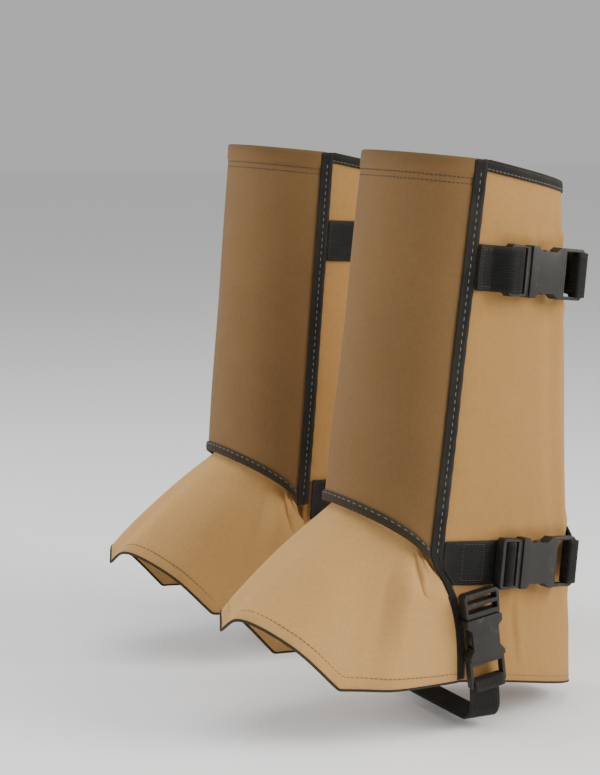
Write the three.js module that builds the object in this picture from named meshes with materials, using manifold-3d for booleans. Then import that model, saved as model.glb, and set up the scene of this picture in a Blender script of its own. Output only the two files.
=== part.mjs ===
// A pair of leg gaiters at worn size: stiff shin shell, hinged instep cover, calf wrap,
// webbing straps and side-release buckles.
// Millimetres, +Z up, toes toward -Y, the wearer's left toward +X, the floor at Z = 0.
// Each gaiter is drawn as a left one about its own leg line, with its outer side toward +X,
// and the right one is the mirror image of that.
import * as THREE from "three";
import { mergeVertices } from "three/addons/utils/BufferGeometryUtils.js";
import Module from "manifold-3d";

const wasm = await Module();
wasm.setup();

const { abs, cos, max, min, pow, sign, sin, PI } = Math;
const RAD = PI / 180;

// Placement of the two gaiters
const STANCE_WIDTH = 235;
const STANCE_OFFSET = 5;
const GAITERS = [
  { name: "left", side: 1, lean: 0.12, seamFoot: -6 },
  { name: "right", side: -1, lean: 0.08, seamFoot: -1 },
];

// Leg section: an elliptical front half and a squarer rear half that meet at the side seams
const HALF_WIDTH = 60;
const FRONT_DEPTH = 56;
const REAR_LINE_TOP = 126;
const REAR_LINE_FOOT = 147;
const REAR_SQUARENESS = 2.4;

// Heights above the floor
const RIM_FRONT = 429;
const RIM_SEAM = 423;
const RIM_REAR = 402;
const SHIN_FOOT_FRONT = 171;
const SHIN_FOOT_SEAM = 124;
const SHIN_FOOT_ARC = 0.6;
const HEM_AT_SEAM = 43;
const HEM_FALL = 30;
const HEM_POWER = 1.6;

// Cloth, sheet and gaps
const GAP = 0.3;
const COVER = 1.4;
const STIFFENER = 1.5;
const LINING = 1;
const BINDING = 1.1;
const SEAM_GAP_DEGREES = 0.3;
const STEP_DEGREES = 7.5;
const STIFFENER_MARGIN = 6;
const SEAM_BINDING_WIDTH = 10;
const SEAM_BINDING_TRIM = 8;
const EDGE_BINDING_WIDTH = 6.5;
const INSTEP_BINDING_WIDTH = 7;
const CALF_OUTER_END = 217.5;
const CALF_INNER_START = 195;
const CALF_TUCK = 0.8;
const CALF_TUCK_RUN = 22.5;

// Instep cover
const LINING_RISE = 3;
const INSTEP_LAP = 10;
const INSTEP_DROP = 6;
const INSTEP_CLEARANCE = 0.8;
const INSTEP_BULGE = 4;
const INSTEP_THROAT_DROP = 3;
const INSTEP_THROAT_DEPTH = 6.5;
const INSTEP_SIDE_CLEARANCE = 1.2;
const INSTEP_STIFFENER_GAP = 0.7;
const TIP = { y: -148, z: 85 };
const BROW = { x: 14, y: -141, z: 95 };
const CHEEK = { x: 43, y: -114, z: 80 };
const TOE_CORNER = { x: 53, y: -80, z: 46 };
const INSTEP_HEM = 42;
const INSTEP_REAR = 13.7;
const INSTEP_REAR_FALL = 18;
const INSTEP_REAR_FOOT = 45;
const INSTEP_STRIP_WIDTH = 5;
const INSTEP_STRIP_GAP = 1.8;
const INSTEP_STRIP_RISE = 2;
const INSTEP_STRIP_BEND = 15;
const CORNER_DEGREES = 52.5;
const INSTEP_STIFFENER_SPAN = 60;
const INSTEP_STIFFENER_HEM = 0.88;

// Webbing
const STRAP_WEB = 32;
const STIRRUP_WEB = 25;
const WEB = 1.8;
const WEB_GAP = 0.6;
const STRAP_DROOP = 6;
const INNER_ANCHOR_RISE = 9;
const UPPER_STRAP = { y: 65.5, z: 342.5 };
const LOWER_STRAP = { y: 63, z: 126 };
const STRAP_LEAVES_CALF = 165;
const STIRRUP = { y: 29, z: 91 };
const STIRRUP_SLANT = 7.4;
const ARCH_HEIGHT = 8;
const SOLE_CORNER = 12;
const SOLE_STRAP_TOP = 78;
const STRAP_SEAM_GAP = 1;
const BAR_CLEARANCE = 0.4;

// Side-release buckle, measured from the mouth of its socket; its width follows its webbing
const BUCKLE_RIMS = 6;
const BUCKLE_THICKNESS = 10;
const LADDER_LENGTH = 19.5;
const LADDER_THICKNESS = 8;
const LADDER_SLOT = 4.5;
const LADDER_RUNG = 3;
const SLOT_SPARE = 1;
const SOCKET_LENGTH = 54;
const SOCKET_DEPTH = 29;
const SOCKET_WALL = 4.2;
const SOCKET_HALF_HEIGHT = 3.3;
const WAIST_START = 7;
const WAIST_END = 22.5;
const WAIST_WALL = 0.5;
const LOOP_START = 32;
const LOOP_SLOT = 13;
const LOOP_BAR = 5;
const LOOP_THICKNESS = 6;
const MOUTH_GAP = 0.6;
const TONGUE_LENGTH = 15;
const TONGUE_HALF_WIDTH = 2;
const ARM_HALF_THICKNESS = 2.8;
const ARM_CLEARANCE = 0.8;
const ARM_ROOT_RADIUS = 1.3;
const ARM_PIVOT = 1.1;
const ARM_LENGTH = 24;
const SHOULDER = 2.2;
const STRAP_BUCKLE_CLEARANCE = 0.5;
const STIRRUP_BUCKLE_CLEARANCE = 1.4;

const FINISH = {
  shin: { color: 0x866a42, roughness: 0.92, metalness: 0 },
  calf: { color: 0xb08a56, roughness: 0.92, metalness: 0 },
  instep: { color: 0xbe9a6a, roughness: 0.92, metalness: 0 },
  sheet: { color: 0xd8dadb, roughness: 0.35, metalness: 0 },
  lining: { color: 0x5a5248, roughness: 0.95, metalness: 0 },
  binding: { color: 0x1f1e18, roughness: 0.85, metalness: 0 },
  webbing: { color: 0x1c1c1a, roughness: 0.8, metalness: 0 },
  buckle: { color: 0x3c3a34, roughness: 0.55, metalness: 0 },
};

/** Smooth ramp from 0 to 1 as x goes from 0 to 1. */
function smooth(x) {
  const t = min(1, max(0, x));
  return t * t * (3 - 2 * t);
}

/** Evenly spaced values from a to b, both included. */
function spaced(a, b, steps) {
  return Array.from({ length: steps + 1 }, (_, i) => a + ((b - a) * i) / steps);
}

/** Evenly spaced angles, about STEP_DEGREES apart. */
function stations(a, b) {
  return spaced(a, b, Math.round(abs(b - a) / STEP_DEGREES));
}

/** Y of the side seam at a height. */
function seamY(fit, z) {
  return fit.seamFoot + fit.lean * (z - SHIN_FOOT_SEAM);
}

/** Y of the rearmost line of the calf at a height. */
function rearY(z) {
  return REAR_LINE_FOOT + ((REAR_LINE_TOP - REAR_LINE_FOOT) * z) / RIM_SEAM;
}

/** Point on the leg section. Degrees run from 0 at the shin through 90 at the outer seam. */
function section(fit, degrees, z) {
  const c = cos(degrees * RAD);
  const s = sin(degrees * RAD);
  const y = seamY(fit, z);
  if (c >= 0) return new THREE.Vector3(HALF_WIDTH * s, y - FRONT_DEPTH * c, z);
  const p = 2 / REAR_SQUARENESS;
  const depth = (rearY(z) - y) * pow(-c, p);
  return new THREE.Vector3(HALF_WIDTH * sign(s) * pow(abs(s), p), y + depth, z);
}

/** Outward direction of the leg section. */
function outward(fit, degrees, z) {
  const around = section(fit, degrees + 1, z).sub(section(fit, degrees - 1, z));
  const up = section(fit, degrees, z + 1).sub(section(fit, degrees, z - 1));
  return around.cross(up).normalize();
}

/** Point at a distance outside the leg section. */
function skin(fit, degrees, z, offset = 0) {
  return section(fit, degrees, z).addScaledVector(outward(fit, degrees, z), offset);
}

function shinFoot(degrees) {
  const rise = SHIN_FOOT_FRONT - SHIN_FOOT_SEAM;
  return SHIN_FOOT_SEAM + rise * pow(max(0, cos(degrees * RAD)), SHIN_FOOT_ARC);
}

function shinRim(degrees) {
  return RIM_SEAM + (RIM_FRONT - RIM_SEAM) * cos(degrees * RAD);
}

/** Share of the way from the seam to the rearmost line. */
function rearShare(degrees) {
  return pow(max(0, -cos(degrees * RAD)), 2 / REAR_SQUARENESS);
}

function calfRim(degrees) {
  return RIM_SEAM - (RIM_SEAM - RIM_REAR) * rearShare(degrees);
}

function calfHem(degrees) {
  return HEM_AT_SEAM - HEM_FALL * rearShare(degrees) ** HEM_POWER;
}

/** Closed shell on a grid of points. Its faces lie at inner and outer along the normals. */
function shell(grid, inner, outer) {
  const across = grid.length;
  const along = grid[0].length;
  const positions = [];
  const put = (offset) => {
    grid.forEach((line, i) =>
      line.forEach((point, j) => {
        const a = grid[min(i + 1, across - 1)][j].clone().sub(grid[max(i - 1, 0)][j]);
        const b = line[min(j + 1, along - 1)].clone().sub(line[max(j - 1, 0)]);
        const moved = a.cross(b).normalize().multiplyScalar(offset).add(point);
        positions.push(moved.x, moved.y, moved.z);
      }),
    );
  };
  put(outer);
  put(inner);
  const half = across * along;
  const at = (i, j, layer) => i * along + j + layer * half;
  const index = [];
  const quad = (a, b, c, d) => index.push(a, b, c, a, c, d);
  for (let i = 0; i + 1 < across; i++) {
    for (let j = 0; j + 1 < along; j++) {
      quad(at(i, j, 0), at(i + 1, j, 0), at(i + 1, j + 1, 0), at(i, j + 1, 0));
      quad(at(i, j, 1), at(i, j + 1, 1), at(i + 1, j + 1, 1), at(i + 1, j, 1));
    }
    quad(at(i, 0, 1), at(i + 1, 0, 1), at(i + 1, 0, 0), at(i, 0, 0));
    quad(at(i, along - 1, 0), at(i + 1, along - 1, 0), at(i + 1, along - 1, 1), at(i, along - 1, 1));
  }
  for (let j = 0; j + 1 < along; j++) {
    quad(at(0, j, 0), at(0, j + 1, 0), at(0, j + 1, 1), at(0, j, 1));
    quad(at(across - 1, j, 1), at(across - 1, j + 1, 1), at(across - 1, j + 1, 0), at(across - 1, j, 0));
  }
  const geometry = new THREE.BufferGeometry();
  geometry.setAttribute("position", new THREE.Float32BufferAttribute(positions, 3));
  geometry.setIndex(index);
  return geometry;
}

/** Shell that follows the leg between two edges, which are heights as functions of the angle. */
function wrap(fit, degrees, bottom, top, rows, inner, outer, offset = () => 0) {
  const grid = degrees.map((d) =>
    spaced(bottom(d), top(d), rows).map((z) => skin(fit, d, z, offset(d))),
  );
  return shell(grid, inner, outer);
}

function toManifold(geometry) {
  const bare = geometry.clone();
  bare.deleteAttribute("normal");
  bare.deleteAttribute("uv");
  const merged = mergeVertices(bare, 1e-4);
  const vertProperties = new Float32Array(merged.attributes.position.array);
  const triVerts = new Uint32Array(merged.index.array);
  return new wasm.Manifold(new wasm.Mesh({ numProp: 3, vertProperties, triVerts }));
}

function toGeometry(manifold) {
  const mesh = manifold.getMesh();
  const geometry = new THREE.BufferGeometry();
  geometry.setAttribute("position", new THREE.BufferAttribute(new Float32Array(mesh.vertProperties), 3));
  geometry.setIndex(new THREE.BufferAttribute(new Uint32Array(mesh.triVerts), 1));
  return geometry;
}

/** Box in buckle axes: s along the buckle, w across the webbing, n away from the leg. */
function block(s0, s1, w0, w1, n0, n1) {
  const box = new THREE.BoxGeometry(s1 - s0, w1 - w0, n1 - n0);
  box.translate((s0 + s1) / 2, (w0 + w1) / 2, (n0 + n1) / 2);
  return toManifold(box);
}

/** Plate of an outline in buckle axes, centred on n = 0. */
function plate(points, thickness) {
  const outline = new THREE.Shape(points.map(([s, w]) => new THREE.Vector2(s, w)));
  const geometry = new THREE.ExtrudeGeometry(outline, { depth: thickness, bevelEnabled: false });
  geometry.translate(0, 0, -thickness / 2);
  return toManifold(geometry);
}

function mirrored(points) {
  return [...points, ...points.map(([s, w]) => [s, -w]).reverse()];
}

/** Widths of a buckle across its webbing, from its centre line. */
function buckleWidths(web) {
  const half = (web + BUCKLE_RIMS) / 2;
  const cavity = half - SOCKET_WALL;
  const pass = cavity - ARM_CLEARANCE;
  return { half, cavity, pass, slot: (web + SLOT_SPARE) / 2, pivot: pass - ARM_ROOT_RADIUS };
}

function buckleSocket(web) {
  const { half, cavity, slot } = buckleWidths(web);
  const waist = cavity + WAIST_WALL;
  const body = plate(
    mirrored([
      [SOCKET_LENGTH, half - 2],
      [SOCKET_LENGTH - 2, half],
      [WAIST_END + 6, half],
      [WAIST_END + 1, waist],
      [WAIST_START + 2, waist],
      [WAIST_START - 1, half],
      [1, half],
      [0, half - 1],
    ]).reverse(),
    BUCKLE_THICKNESS,
  );
  const roof = SOCKET_HALF_HEIGHT;
  const slotEnd = SOCKET_LENGTH - LOOP_BAR;
  const cuts = [
    block(-1, SOCKET_DEPTH, -cavity, cavity, -roof, roof),
    block(WAIST_START, WAIST_END, -half - 1, half + 1, -roof, roof),
    block(slotEnd - LOOP_SLOT, slotEnd, -slot, slot, -half, half),
    block(LOOP_START, SOCKET_LENGTH + 1, -half - 1, half + 1, LOOP_THICKNESS / 2, half),
    block(LOOP_START, SOCKET_LENGTH + 1, -half - 1, half + 1, -half, -LOOP_THICKNESS / 2),
  ];
  return toGeometry(cuts.reduce((solid, cut) => solid.subtract(cut), body));
}

function buckleLadder(web) {
  const { half, slot } = buckleWidths(web);
  const back = -LADDER_LENGTH;
  let body = plate(
    mirrored([
      [-MOUTH_GAP, half - 1],
      [back + 2, half],
      [back, half - 2],
    ]).reverse(),
    LADDER_THICKNESS,
  );
  for (const start of [back + LADDER_RUNG, back + 2 * LADDER_RUNG + LADDER_SLOT]) {
    body = body.subtract(block(start, start + LADDER_SLOT, -slot, slot, -half, half));
  }
  const tongue = block(
    -MOUTH_GAP - 1, TONGUE_LENGTH, -TONGUE_HALF_WIDTH, TONGUE_HALF_WIDTH,
    -ARM_HALF_THICKNESS, ARM_HALF_THICKNESS,
  );
  return toGeometry(body.add(tongue));
}

/** Latch arm on one side, with a round root on its pivot and a ramped shoulder. */
function latchArm(web, hand) {
  const { pass, pivot } = buckleWidths(web);
  const root = spaced(90, 270, 6).map((d) => [
    ARM_PIVOT + ARM_ROOT_RADIUS * cos(d * RAD), pivot + ARM_ROOT_RADIUS * sin(d * RAD),
  ]);
  const outline = [
    ...root,
    [ARM_LENGTH - 4, pivot - 2],
    [ARM_LENGTH, pivot - 0.8],
    [ARM_LENGTH, pivot + 0.2],
    [WAIST_END - 4.5, pass + SHOULDER],
    [WAIST_START + 9, pass + SHOULDER],
    [WAIST_START + 7, pass + SHOULDER / 2],
    [WAIST_START + 3, pass + 0.3],
    [WAIST_START - 1, pass],
  ];
  const placed = outline.map(([a, b]) => [a, hand * b]);
  return toGeometry(plate(hand > 0 ? placed : placed.reverse(), 2 * ARM_HALF_THICKNESS));
}

/**
 * Frame of a buckle over webbing on the leg, with s along it, w across it and n away from it.
 * Its s turns from one direction on the leg towards another by a tilt in degrees.
 */
function buckleFrame(fit, place, direction, tilt, clearance) {
  const n = outward(fit, angleAtY(fit, place.y, place.z), place.z).setZ(0).normalize();
  const back = new THREE.Vector3(-n.y, n.x, 0);
  const down = new THREE.Vector3(0, 0, -1);
  const [from, to] = direction === "down" ? [down, back] : [back, down];
  const s = from.multiplyScalar(cos(tilt * RAD)).addScaledVector(to, sin(tilt * RAD));
  const w = n.clone().cross(s);
  const height = WEB_GAP + WEB + clearance + BUCKLE_THICKNESS / 2;
  const origin = section(fit, angleAtY(fit, place.y, place.z), place.z).addScaledVector(n, height);
  return new THREE.Matrix4().makeBasis(s, w, n).setPosition(origin);
}

/** The angle on the outer side where the leg's section reaches a value of Y. */
function angleAtY(fit, y, z) {
  const ahead = seamY(fit, z) - y;
  if (ahead > 0) return 90 - Math.asin(ahead / FRONT_DEPTH) / RAD;
  const share = -ahead / (rearY(z) - seamY(fit, z));
  return 90 + Math.asin(share ** (REAR_SQUARENESS / 2)) / RAD;
}

/** Edges of webbing that lies over the end bar of a socket, through its loop and back under. */
function loopTurn(frame, web) {
  const bar = SOCKET_LENGTH - LOOP_BAR;
  const half = LOOP_THICKNESS / 2;
  const radius = WEB / 2 + BAR_CLEARANCE;
  const round = spaced(90, 180, 2).map((d) => [
    bar + radius * cos(d * RAD), half + radius * sin(d * RAD),
  ]);
  const over = [[SOCKET_LENGTH + 1, half + radius], ...round];
  const under = over.map(([s, n]) => [s, -n]).reverse();
  const turn = [...over, ...under];
  return turn.map(([s, n]) =>
    [-1, 1].map((e) => new THREE.Vector3(s, (e * web) / 2, n).applyMatrix4(frame)),
  );
}

/** The angle on the outer side at a distance behind the seam, or ahead of it if negative. */
function angleFromSeam(fit, across, z) {
  return angleAtY(fit, seamY(fit, z) + across, z);
}

/** Where a strap stops short of the seam binding and of the instep's rear strip. */
function strapEnd(fit, middle) {
  const z = middle - STRAP_WEB / 2;
  const binding = seamY(fit, z) + SEAM_BINDING_WIDTH / 2;
  const strip = instepRear(z) + INSTEP_STRIP_GAP + INSTEP_STRIP_WIDTH;
  return angleAtY(fit, Math.max(binding, strip) + STRAP_SEAM_GAP, z);
}

/** Height of a strap's centre line where it is at a value of Y on the outer side. */
function strapHeight(place, y) {
  return place.z - (y - place.y) * Math.tan(STRAP_DROOP * RAD);
}

function rearStrap(fit, place, frame) {
  const turn = loopTurn(frame, STRAP_WEB);
  const last = turn[turn.length - 1];
  const start = (last[0].z + last[1].z) / 2;
  const anchor = place.z + INNER_ANCHOR_RISE;
  const degrees = stations(STRAP_LEAVES_CALF, 360 - strapEnd(fit, anchor));
  const round = degrees.map((d, i) => {
    const z = start + ((anchor - start) * (i + 1)) / degrees.length;
    return [-1, 1].map((e) => skin(fit, d, z + (e * STRAP_WEB) / 2, WEB_GAP + WEB / 2));
  });
  return shell([...turn, ...round], -WEB / 2, WEB / 2);
}

function frontStrap(fit, place) {
  const line = (d) => strapHeight(place, section(fit, d, place.z).y);
  const degrees = stations(strapEnd(fit, place.z), angleAtY(fit, place.y, place.z));
  const edge = (change) => (d) => line(d) + change;
  return wrap(
    fit, degrees, edge(-STRAP_WEB / 2), edge(STRAP_WEB / 2), 1, WEB_GAP, WEB_GAP + WEB,
  );
}

/** Y of the stirrup's centre line at a height. */
function stirrupY(z) {
  return STIRRUP.y + (STIRRUP.z - z) * Math.tan(STIRRUP_SLANT * RAD);
}

function hangerStrap(fit) {
  const half = STIRRUP_WEB / 2;
  const top = strapHeight(LOWER_STRAP, STIRRUP.y + half) - STRAP_WEB / 2 - GAP;
  const bottom = STIRRUP.z + 4;
  const grid = spaced(-half, half, 4).map((across) =>
    [bottom, top].map((z) => skin(fit, angleAtY(fit, stirrupY(z) + across, z), z)),
  );
  return shell(grid, WEB_GAP, WEB_GAP + WEB);
}

function soleStrap(frame) {
  const side = HALF_WIDTH + WEB_GAP + WEB / 2;
  const low = ARCH_HEIGHT + WEB / 2;
  const bend = (x, from) =>
    spaced(from, from - 90, 4).map((d) => [
      x + SOLE_CORNER * cos(d * RAD), low + SOLE_CORNER + SOLE_CORNER * sin(d * RAD),
    ]);
  const path = [
    ...bend(side - SOLE_CORNER, 0),
    ...bend(SOLE_CORNER - side, -90),
    [-side, SOLE_STRAP_TOP],
  ];
  const middle = stirrupY(low + SOLE_CORNER);
  const round = path.map(([x, z]) =>
    [-1, 1].map((e) => new THREE.Vector3(x, middle + (e * STIRRUP_WEB) / 2, z)),
  );
  return shell([...loopTurn(frame, STIRRUP_WEB), ...round], -WEB / 2, WEB / 2);
}

/** Bottom edge of the instep cover, from the tip over the toes to its rear corner. */
function instepHem(degrees) {
  const side = HALF_WIDTH + INSTEP_SIDE_CLEARANCE;
  const corner = new THREE.Vector3(TOE_CORNER.x, TOE_CORNER.y, TOE_CORNER.z);
  const brow = new THREE.CatmullRomCurve3([
    new THREE.Vector3(0, TIP.y, TIP.z),
    new THREE.Vector3(BROW.x, BROW.y, BROW.z),
    new THREE.Vector3(CHEEK.x, CHEEK.y, CHEEK.z),
    corner,
  ]);
  const hem = new THREE.CatmullRomCurve3([
    corner,
    new THREE.Vector3(side - 1, -35, INSTEP_HEM),
    new THREE.Vector3(side, INSTEP_REAR, INSTEP_HEM),
  ]);
  const turn = abs(degrees);
  const share = turn / CORNER_DEGREES;
  const rest = (turn - CORNER_DEGREES) / (90 - CORNER_DEGREES);
  const point = share < 1 ? brow.getPoint(share) : hem.getPoint(rest);
  point.x *= sign(degrees) || 0;
  return point;
}

/** Y of the instep cover's rear edge at a height. */
function instepRear(z) {
  const rise = (z - INSTEP_REAR_FOOT) / (SHIN_FOOT_SEAM - INSTEP_REAR_FOOT);
  return INSTEP_REAR - INSTEP_REAR_FALL * rise ** 3;
}

/** Point of the instep cover's inner face. Share runs from 0 at the shin to 1 at the hem. */
function instep(fit, degrees, share) {
  const turn = abs(degrees);
  const tucked = -(COVER + STIFFENER + LINING + 2 * GAP + INSTEP_CLEARANCE + COVER);
  const lap = INSTEP_LAP - (INSTEP_LAP + INSTEP_DROP) * smooth((turn - 60) / 30);
  const out = smooth((turn - 77) / 8);
  const top = skin(fit, degrees, shinFoot(degrees) + lap, tucked + (INSTEP_SIDE_CLEARANCE - tucked) * out);
  const flare = smooth((turn - 74) / 8.5);
  const throatDepth = -INSTEP_THROAT_DEPTH + (INSTEP_SIDE_CLEARANCE + INSTEP_THROAT_DEPTH) * flare;
  const drop = INSTEP_THROAT_DROP + 2 * INSTEP_DROP * flare;
  const throat = skin(fit, degrees, shinFoot(degrees) - drop, throatDepth);
  const bulge = INSTEP_BULGE * sin(PI * max(share, 0)) * cos(degrees * RAD);
  const point = share < 0 ? top : throat.lerp(instepHem(degrees), share);
  const from = 84 - 8 * smooth(3 * share);
  point.y += (instepRear(point.z) - point.y) * smooth((turn - from) / (90 - from)) - bulge * 0.7;
  if (share >= 0) {
    const side = sign(degrees) * (HALF_WIDTH + INSTEP_SIDE_CLEARANCE);
    const spread = max(flare, smooth((turn - 60) / 12) * smooth(3 * share));
    point.x += (side - point.x) * spread;
  }
  point.z += bulge * 0.7;
  return point;
}

function instepPanel(fit, span, hem, inner, outer) {
  const shares = [-1, ...spaced(0, hem, 4)];
  const grid = stations(-span, span).map((d) => shares.map((v) => instep(fit, d, v)).reverse());
  return shell(grid, inner, outer);
}

/** The pieces of one left gaiter, as [name, finish, geometry]. */
function gaiterPieces(fit) {
  const seam = 90 - SEAM_GAP_DEGREES;
  const front = stations(-seam, seam);
  const outerCalf = stations(90 + SEAM_GAP_DEGREES, CALF_OUTER_END);
  const innerCalf = stations(CALF_INNER_START, 270 - SEAM_GAP_DEGREES);
  const edge = (line, change) => (d) => line(d) + change;
  const stiffenerTop = -COVER - GAP;
  const liningTop = stiffenerTop - STIFFENER - GAP;
  const outside = [GAP, GAP + BINDING];
  const seamEdge = SEAM_BINDING_WIDTH / 2;
  const clear = seamEdge + STRAP_SEAM_GAP;
  const tucked = (d) => -(COVER + CALF_TUCK) * (1 - smooth((d - CALF_OUTER_END) / CALF_TUCK_RUN));
  const seamFoot = SHIN_FOOT_SEAM + SEAM_BINDING_TRIM;
  const seamRow = (side) => (z) =>
    spaced(-seamEdge, seamEdge, 2).map((across) =>
      skin(fit, side * angleFromSeam(fit, across, z), z),
    );
  const longStrip = () => {
    const upper = [RIM_SEAM, SHIN_FOOT_SEAM + INSTEP_STRIP_BEND].map(seamRow(1));
    const lower = spaced(SHIN_FOOT_SEAM + INSTEP_STRIP_RISE, HEM_AT_SEAM, 6).map((z) =>
      spaced(0, INSTEP_STRIP_WIDTH, 2).map((across) =>
        skin(fit, angleAtY(fit, instepRear(z) + INSTEP_STRIP_GAP + across, z), z),
      ),
    );
    return shell([...upper, ...lower], ...outside);
  };
  const shinStations = front.map((d) => (d * angleFromSeam(fit, -clear, SHIN_FOOT_SEAM)) / seam);
  const rimStart = angleFromSeam(fit, clear, RIM_SEAM);
  const calfStations = stations(rimStart, CALF_OUTER_END);
  const innerTop = stations(CALF_OUTER_END + CALF_TUCK_RUN / 3, 360 - rimStart);
  const topEdge = (degrees, offset) =>
    wrap(fit, degrees, edge(calfRim, -EDGE_BINDING_WIDTH), calfRim, 1, ...outside, offset);
  const stiffDegrees = front.map((d) => d * 0.94);
  const upperFrame = buckleFrame(fit, UPPER_STRAP, "back", STRAP_DROOP, STRAP_BUCKLE_CLEARANCE);
  const lowerFrame = buckleFrame(fit, LOWER_STRAP, "back", STRAP_DROOP, STRAP_BUCKLE_CLEARANCE);
  const stirrupFrame = buckleFrame(
    fit, STIRRUP, "down", STIRRUP_SLANT, STIRRUP_BUCKLE_CLEARANCE,
  );
  const buckle = (name, frame, web) => [
    [`${name}_buckle_socket`, "buckle", buckleSocket(web).applyMatrix4(frame)],
    [`${name}_buckle_ladder`, "buckle", buckleLadder(web).applyMatrix4(frame)],
    [`${name}_latch_arm_a`, "buckle", latchArm(web, 1).applyMatrix4(frame)],
    [`${name}_latch_arm_b`, "buckle", latchArm(web, -1).applyMatrix4(frame)],
  ];
  return [
    ["shin_cover", "shin", wrap(fit, front, shinFoot, shinRim, 3, -COVER, 0)],
    [
      "shin_stiffener",
      "sheet",
      wrap(
        fit, stiffDegrees, edge(shinFoot, STIFFENER_MARGIN), edge(shinRim, -2 * STIFFENER_MARGIN),
        3, stiffenerTop - STIFFENER, stiffenerTop,
      ),
    ],
    [
      "shin_lining",
      "lining",
      wrap(fit, front, edge(shinFoot, LINING_RISE), edge(shinRim, -1), 3, liningTop - LINING, liningTop),
    ],
    ["outer_calf_panel", "calf", wrap(fit, outerCalf, calfHem, calfRim, 3, -COVER, 0)],
    ["inner_calf_panel", "calf", wrap(fit, innerCalf, calfHem, calfRim, 3, -COVER, 0, tucked)],
    ["outer_calf_binding", "binding", topEdge(calfStations)],
    ["inner_calf_binding", "binding", topEdge(innerTop, tucked)],
    ["outer_seam_binding", "binding", longStrip()],
    ["inner_seam_binding", "binding", shell([seamFoot, RIM_SEAM].map(seamRow(-1)), ...outside)],
    [
      "instep_seam_binding",
      "binding",
      wrap(fit, shinStations, shinFoot, edge(shinFoot, INSTEP_BINDING_WIDTH), 1, ...outside),
    ],
    ["instep_cover", "instep", instepPanel(fit, 90, 1, 0, COVER)],
    [
      "instep_stiffener",
      "sheet",
      instepPanel(
        fit, INSTEP_STIFFENER_SPAN, INSTEP_STIFFENER_HEM,
        -INSTEP_STIFFENER_GAP - LINING, -INSTEP_STIFFENER_GAP,
      ),
    ],
    ["upper_strap_front", "webbing", frontStrap(fit, UPPER_STRAP)],
    ["upper_strap_rear", "webbing", rearStrap(fit, UPPER_STRAP, upperFrame)],
    ["lower_strap_front", "webbing", frontStrap(fit, LOWER_STRAP)],
    ["lower_strap_rear", "webbing", rearStrap(fit, LOWER_STRAP, lowerFrame)],
    ["stirrup_hanger", "webbing", hangerStrap(fit)],
    ["stirrup_sole_strap", "webbing", soleStrap(stirrupFrame)],
    ...buckle("upper", upperFrame, STRAP_WEB),
    ...buckle("lower", lowerFrame, STRAP_WEB),
    ...buckle("stirrup", stirrupFrame, STIRRUP_WEB),
  ];
}

/** Mirror image across X = 0 with its faces still pointing out. */
function mirrorImage(geometry) {
  const image = geometry.clone().scale(-1, 1, 1);
  const index = image.index.array;
  for (let i = 0; i < index.length; i += 3) {
    [index[i], index[i + 1]] = [index[i + 1], index[i]];
  }
  return image;
}

const pair = new THREE.Group();
for (const fit of GAITERS) {
  const gaiter = new THREE.Group();
  gaiter.position.set((fit.side * STANCE_WIDTH) / 2, (-fit.side * STANCE_OFFSET) / 2, 0);
  for (const [name, finish, geometry] of gaiterPieces(fit)) {
    const shape = fit.side > 0 ? geometry : mirrorImage(geometry);
    shape.computeVertexNormals();
    const mesh = new THREE.Mesh(shape, new THREE.MeshStandardMaterial(FINISH[finish]));
    mesh.name = `${fit.name}_${name}`;
    gaiter.add(mesh);
  }
  pair.add(gaiter);
}

export default pair;
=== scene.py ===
"""Looks of a pair of leg gaiters: cloth shells, bindings, webbing and side-release buckles.

Each gaiter is worked out in millimetres about its own leg line, with its outer side toward +X,
and then mirrored where needed, placed and turned into metres.
"""

import logging
import math
from collections.abc import Callable
from dataclasses import dataclass, field
from enum import Enum

import bmesh
import bpy
import numpy as np
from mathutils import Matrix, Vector


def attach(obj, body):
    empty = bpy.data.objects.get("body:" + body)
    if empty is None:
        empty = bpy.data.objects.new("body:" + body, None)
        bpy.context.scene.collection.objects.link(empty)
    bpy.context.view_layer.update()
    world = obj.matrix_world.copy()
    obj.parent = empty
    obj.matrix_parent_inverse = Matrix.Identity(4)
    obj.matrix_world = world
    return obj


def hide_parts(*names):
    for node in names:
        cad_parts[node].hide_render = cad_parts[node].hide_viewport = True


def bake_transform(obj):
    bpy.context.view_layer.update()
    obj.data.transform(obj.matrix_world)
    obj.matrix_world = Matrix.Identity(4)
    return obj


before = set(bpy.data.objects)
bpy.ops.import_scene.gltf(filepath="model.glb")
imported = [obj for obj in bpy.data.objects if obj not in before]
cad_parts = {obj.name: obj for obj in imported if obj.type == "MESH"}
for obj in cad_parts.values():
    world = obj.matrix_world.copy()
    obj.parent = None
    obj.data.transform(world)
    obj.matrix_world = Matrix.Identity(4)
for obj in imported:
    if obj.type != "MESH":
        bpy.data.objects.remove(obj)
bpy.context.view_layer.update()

Socket = bpy.types.NodeSocket
Material = bpy.types.Material
Piece = bpy.types.Object
Triple = tuple[float, float, float]

MM = 0.001
UV_SCALE = 0.01

# Mouldings: radii of rounded edges in millimetres, then the merge distance in metres and the
# angles at which an edge is dissolved, rounded or left sharp.
SHELL_EDGE = 0.6
ARM_EDGE = 0.35
MERGE_DISTANCE = 2e-5
FLAT_ANGLE = math.radians(2)
ROUNDED_ANGLE = math.radians(25)
SHARP_ANGLE = math.radians(40)

# Side views of the webbing at a ladder: millimetres along the buckle from its mouth, and off it.
LOOP_DOWN = ((-8.8, 4.85), (-7.2, 3.0), (-6.7, 0.0), (-6.7, -3.0))
LOOP_FROM_FRONT = ((-18.6, 4.6), (-13.5, 5.2), (-10.5, 5.25), *LOOP_DOWN)
LOOP_FROM_BELOW = ((-14.3, -3.0), (-14.3, 0.0), (-13.8, 3.0), (-12.2, 4.85), (-10.5, 5.25), *LOOP_DOWN)

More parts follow.
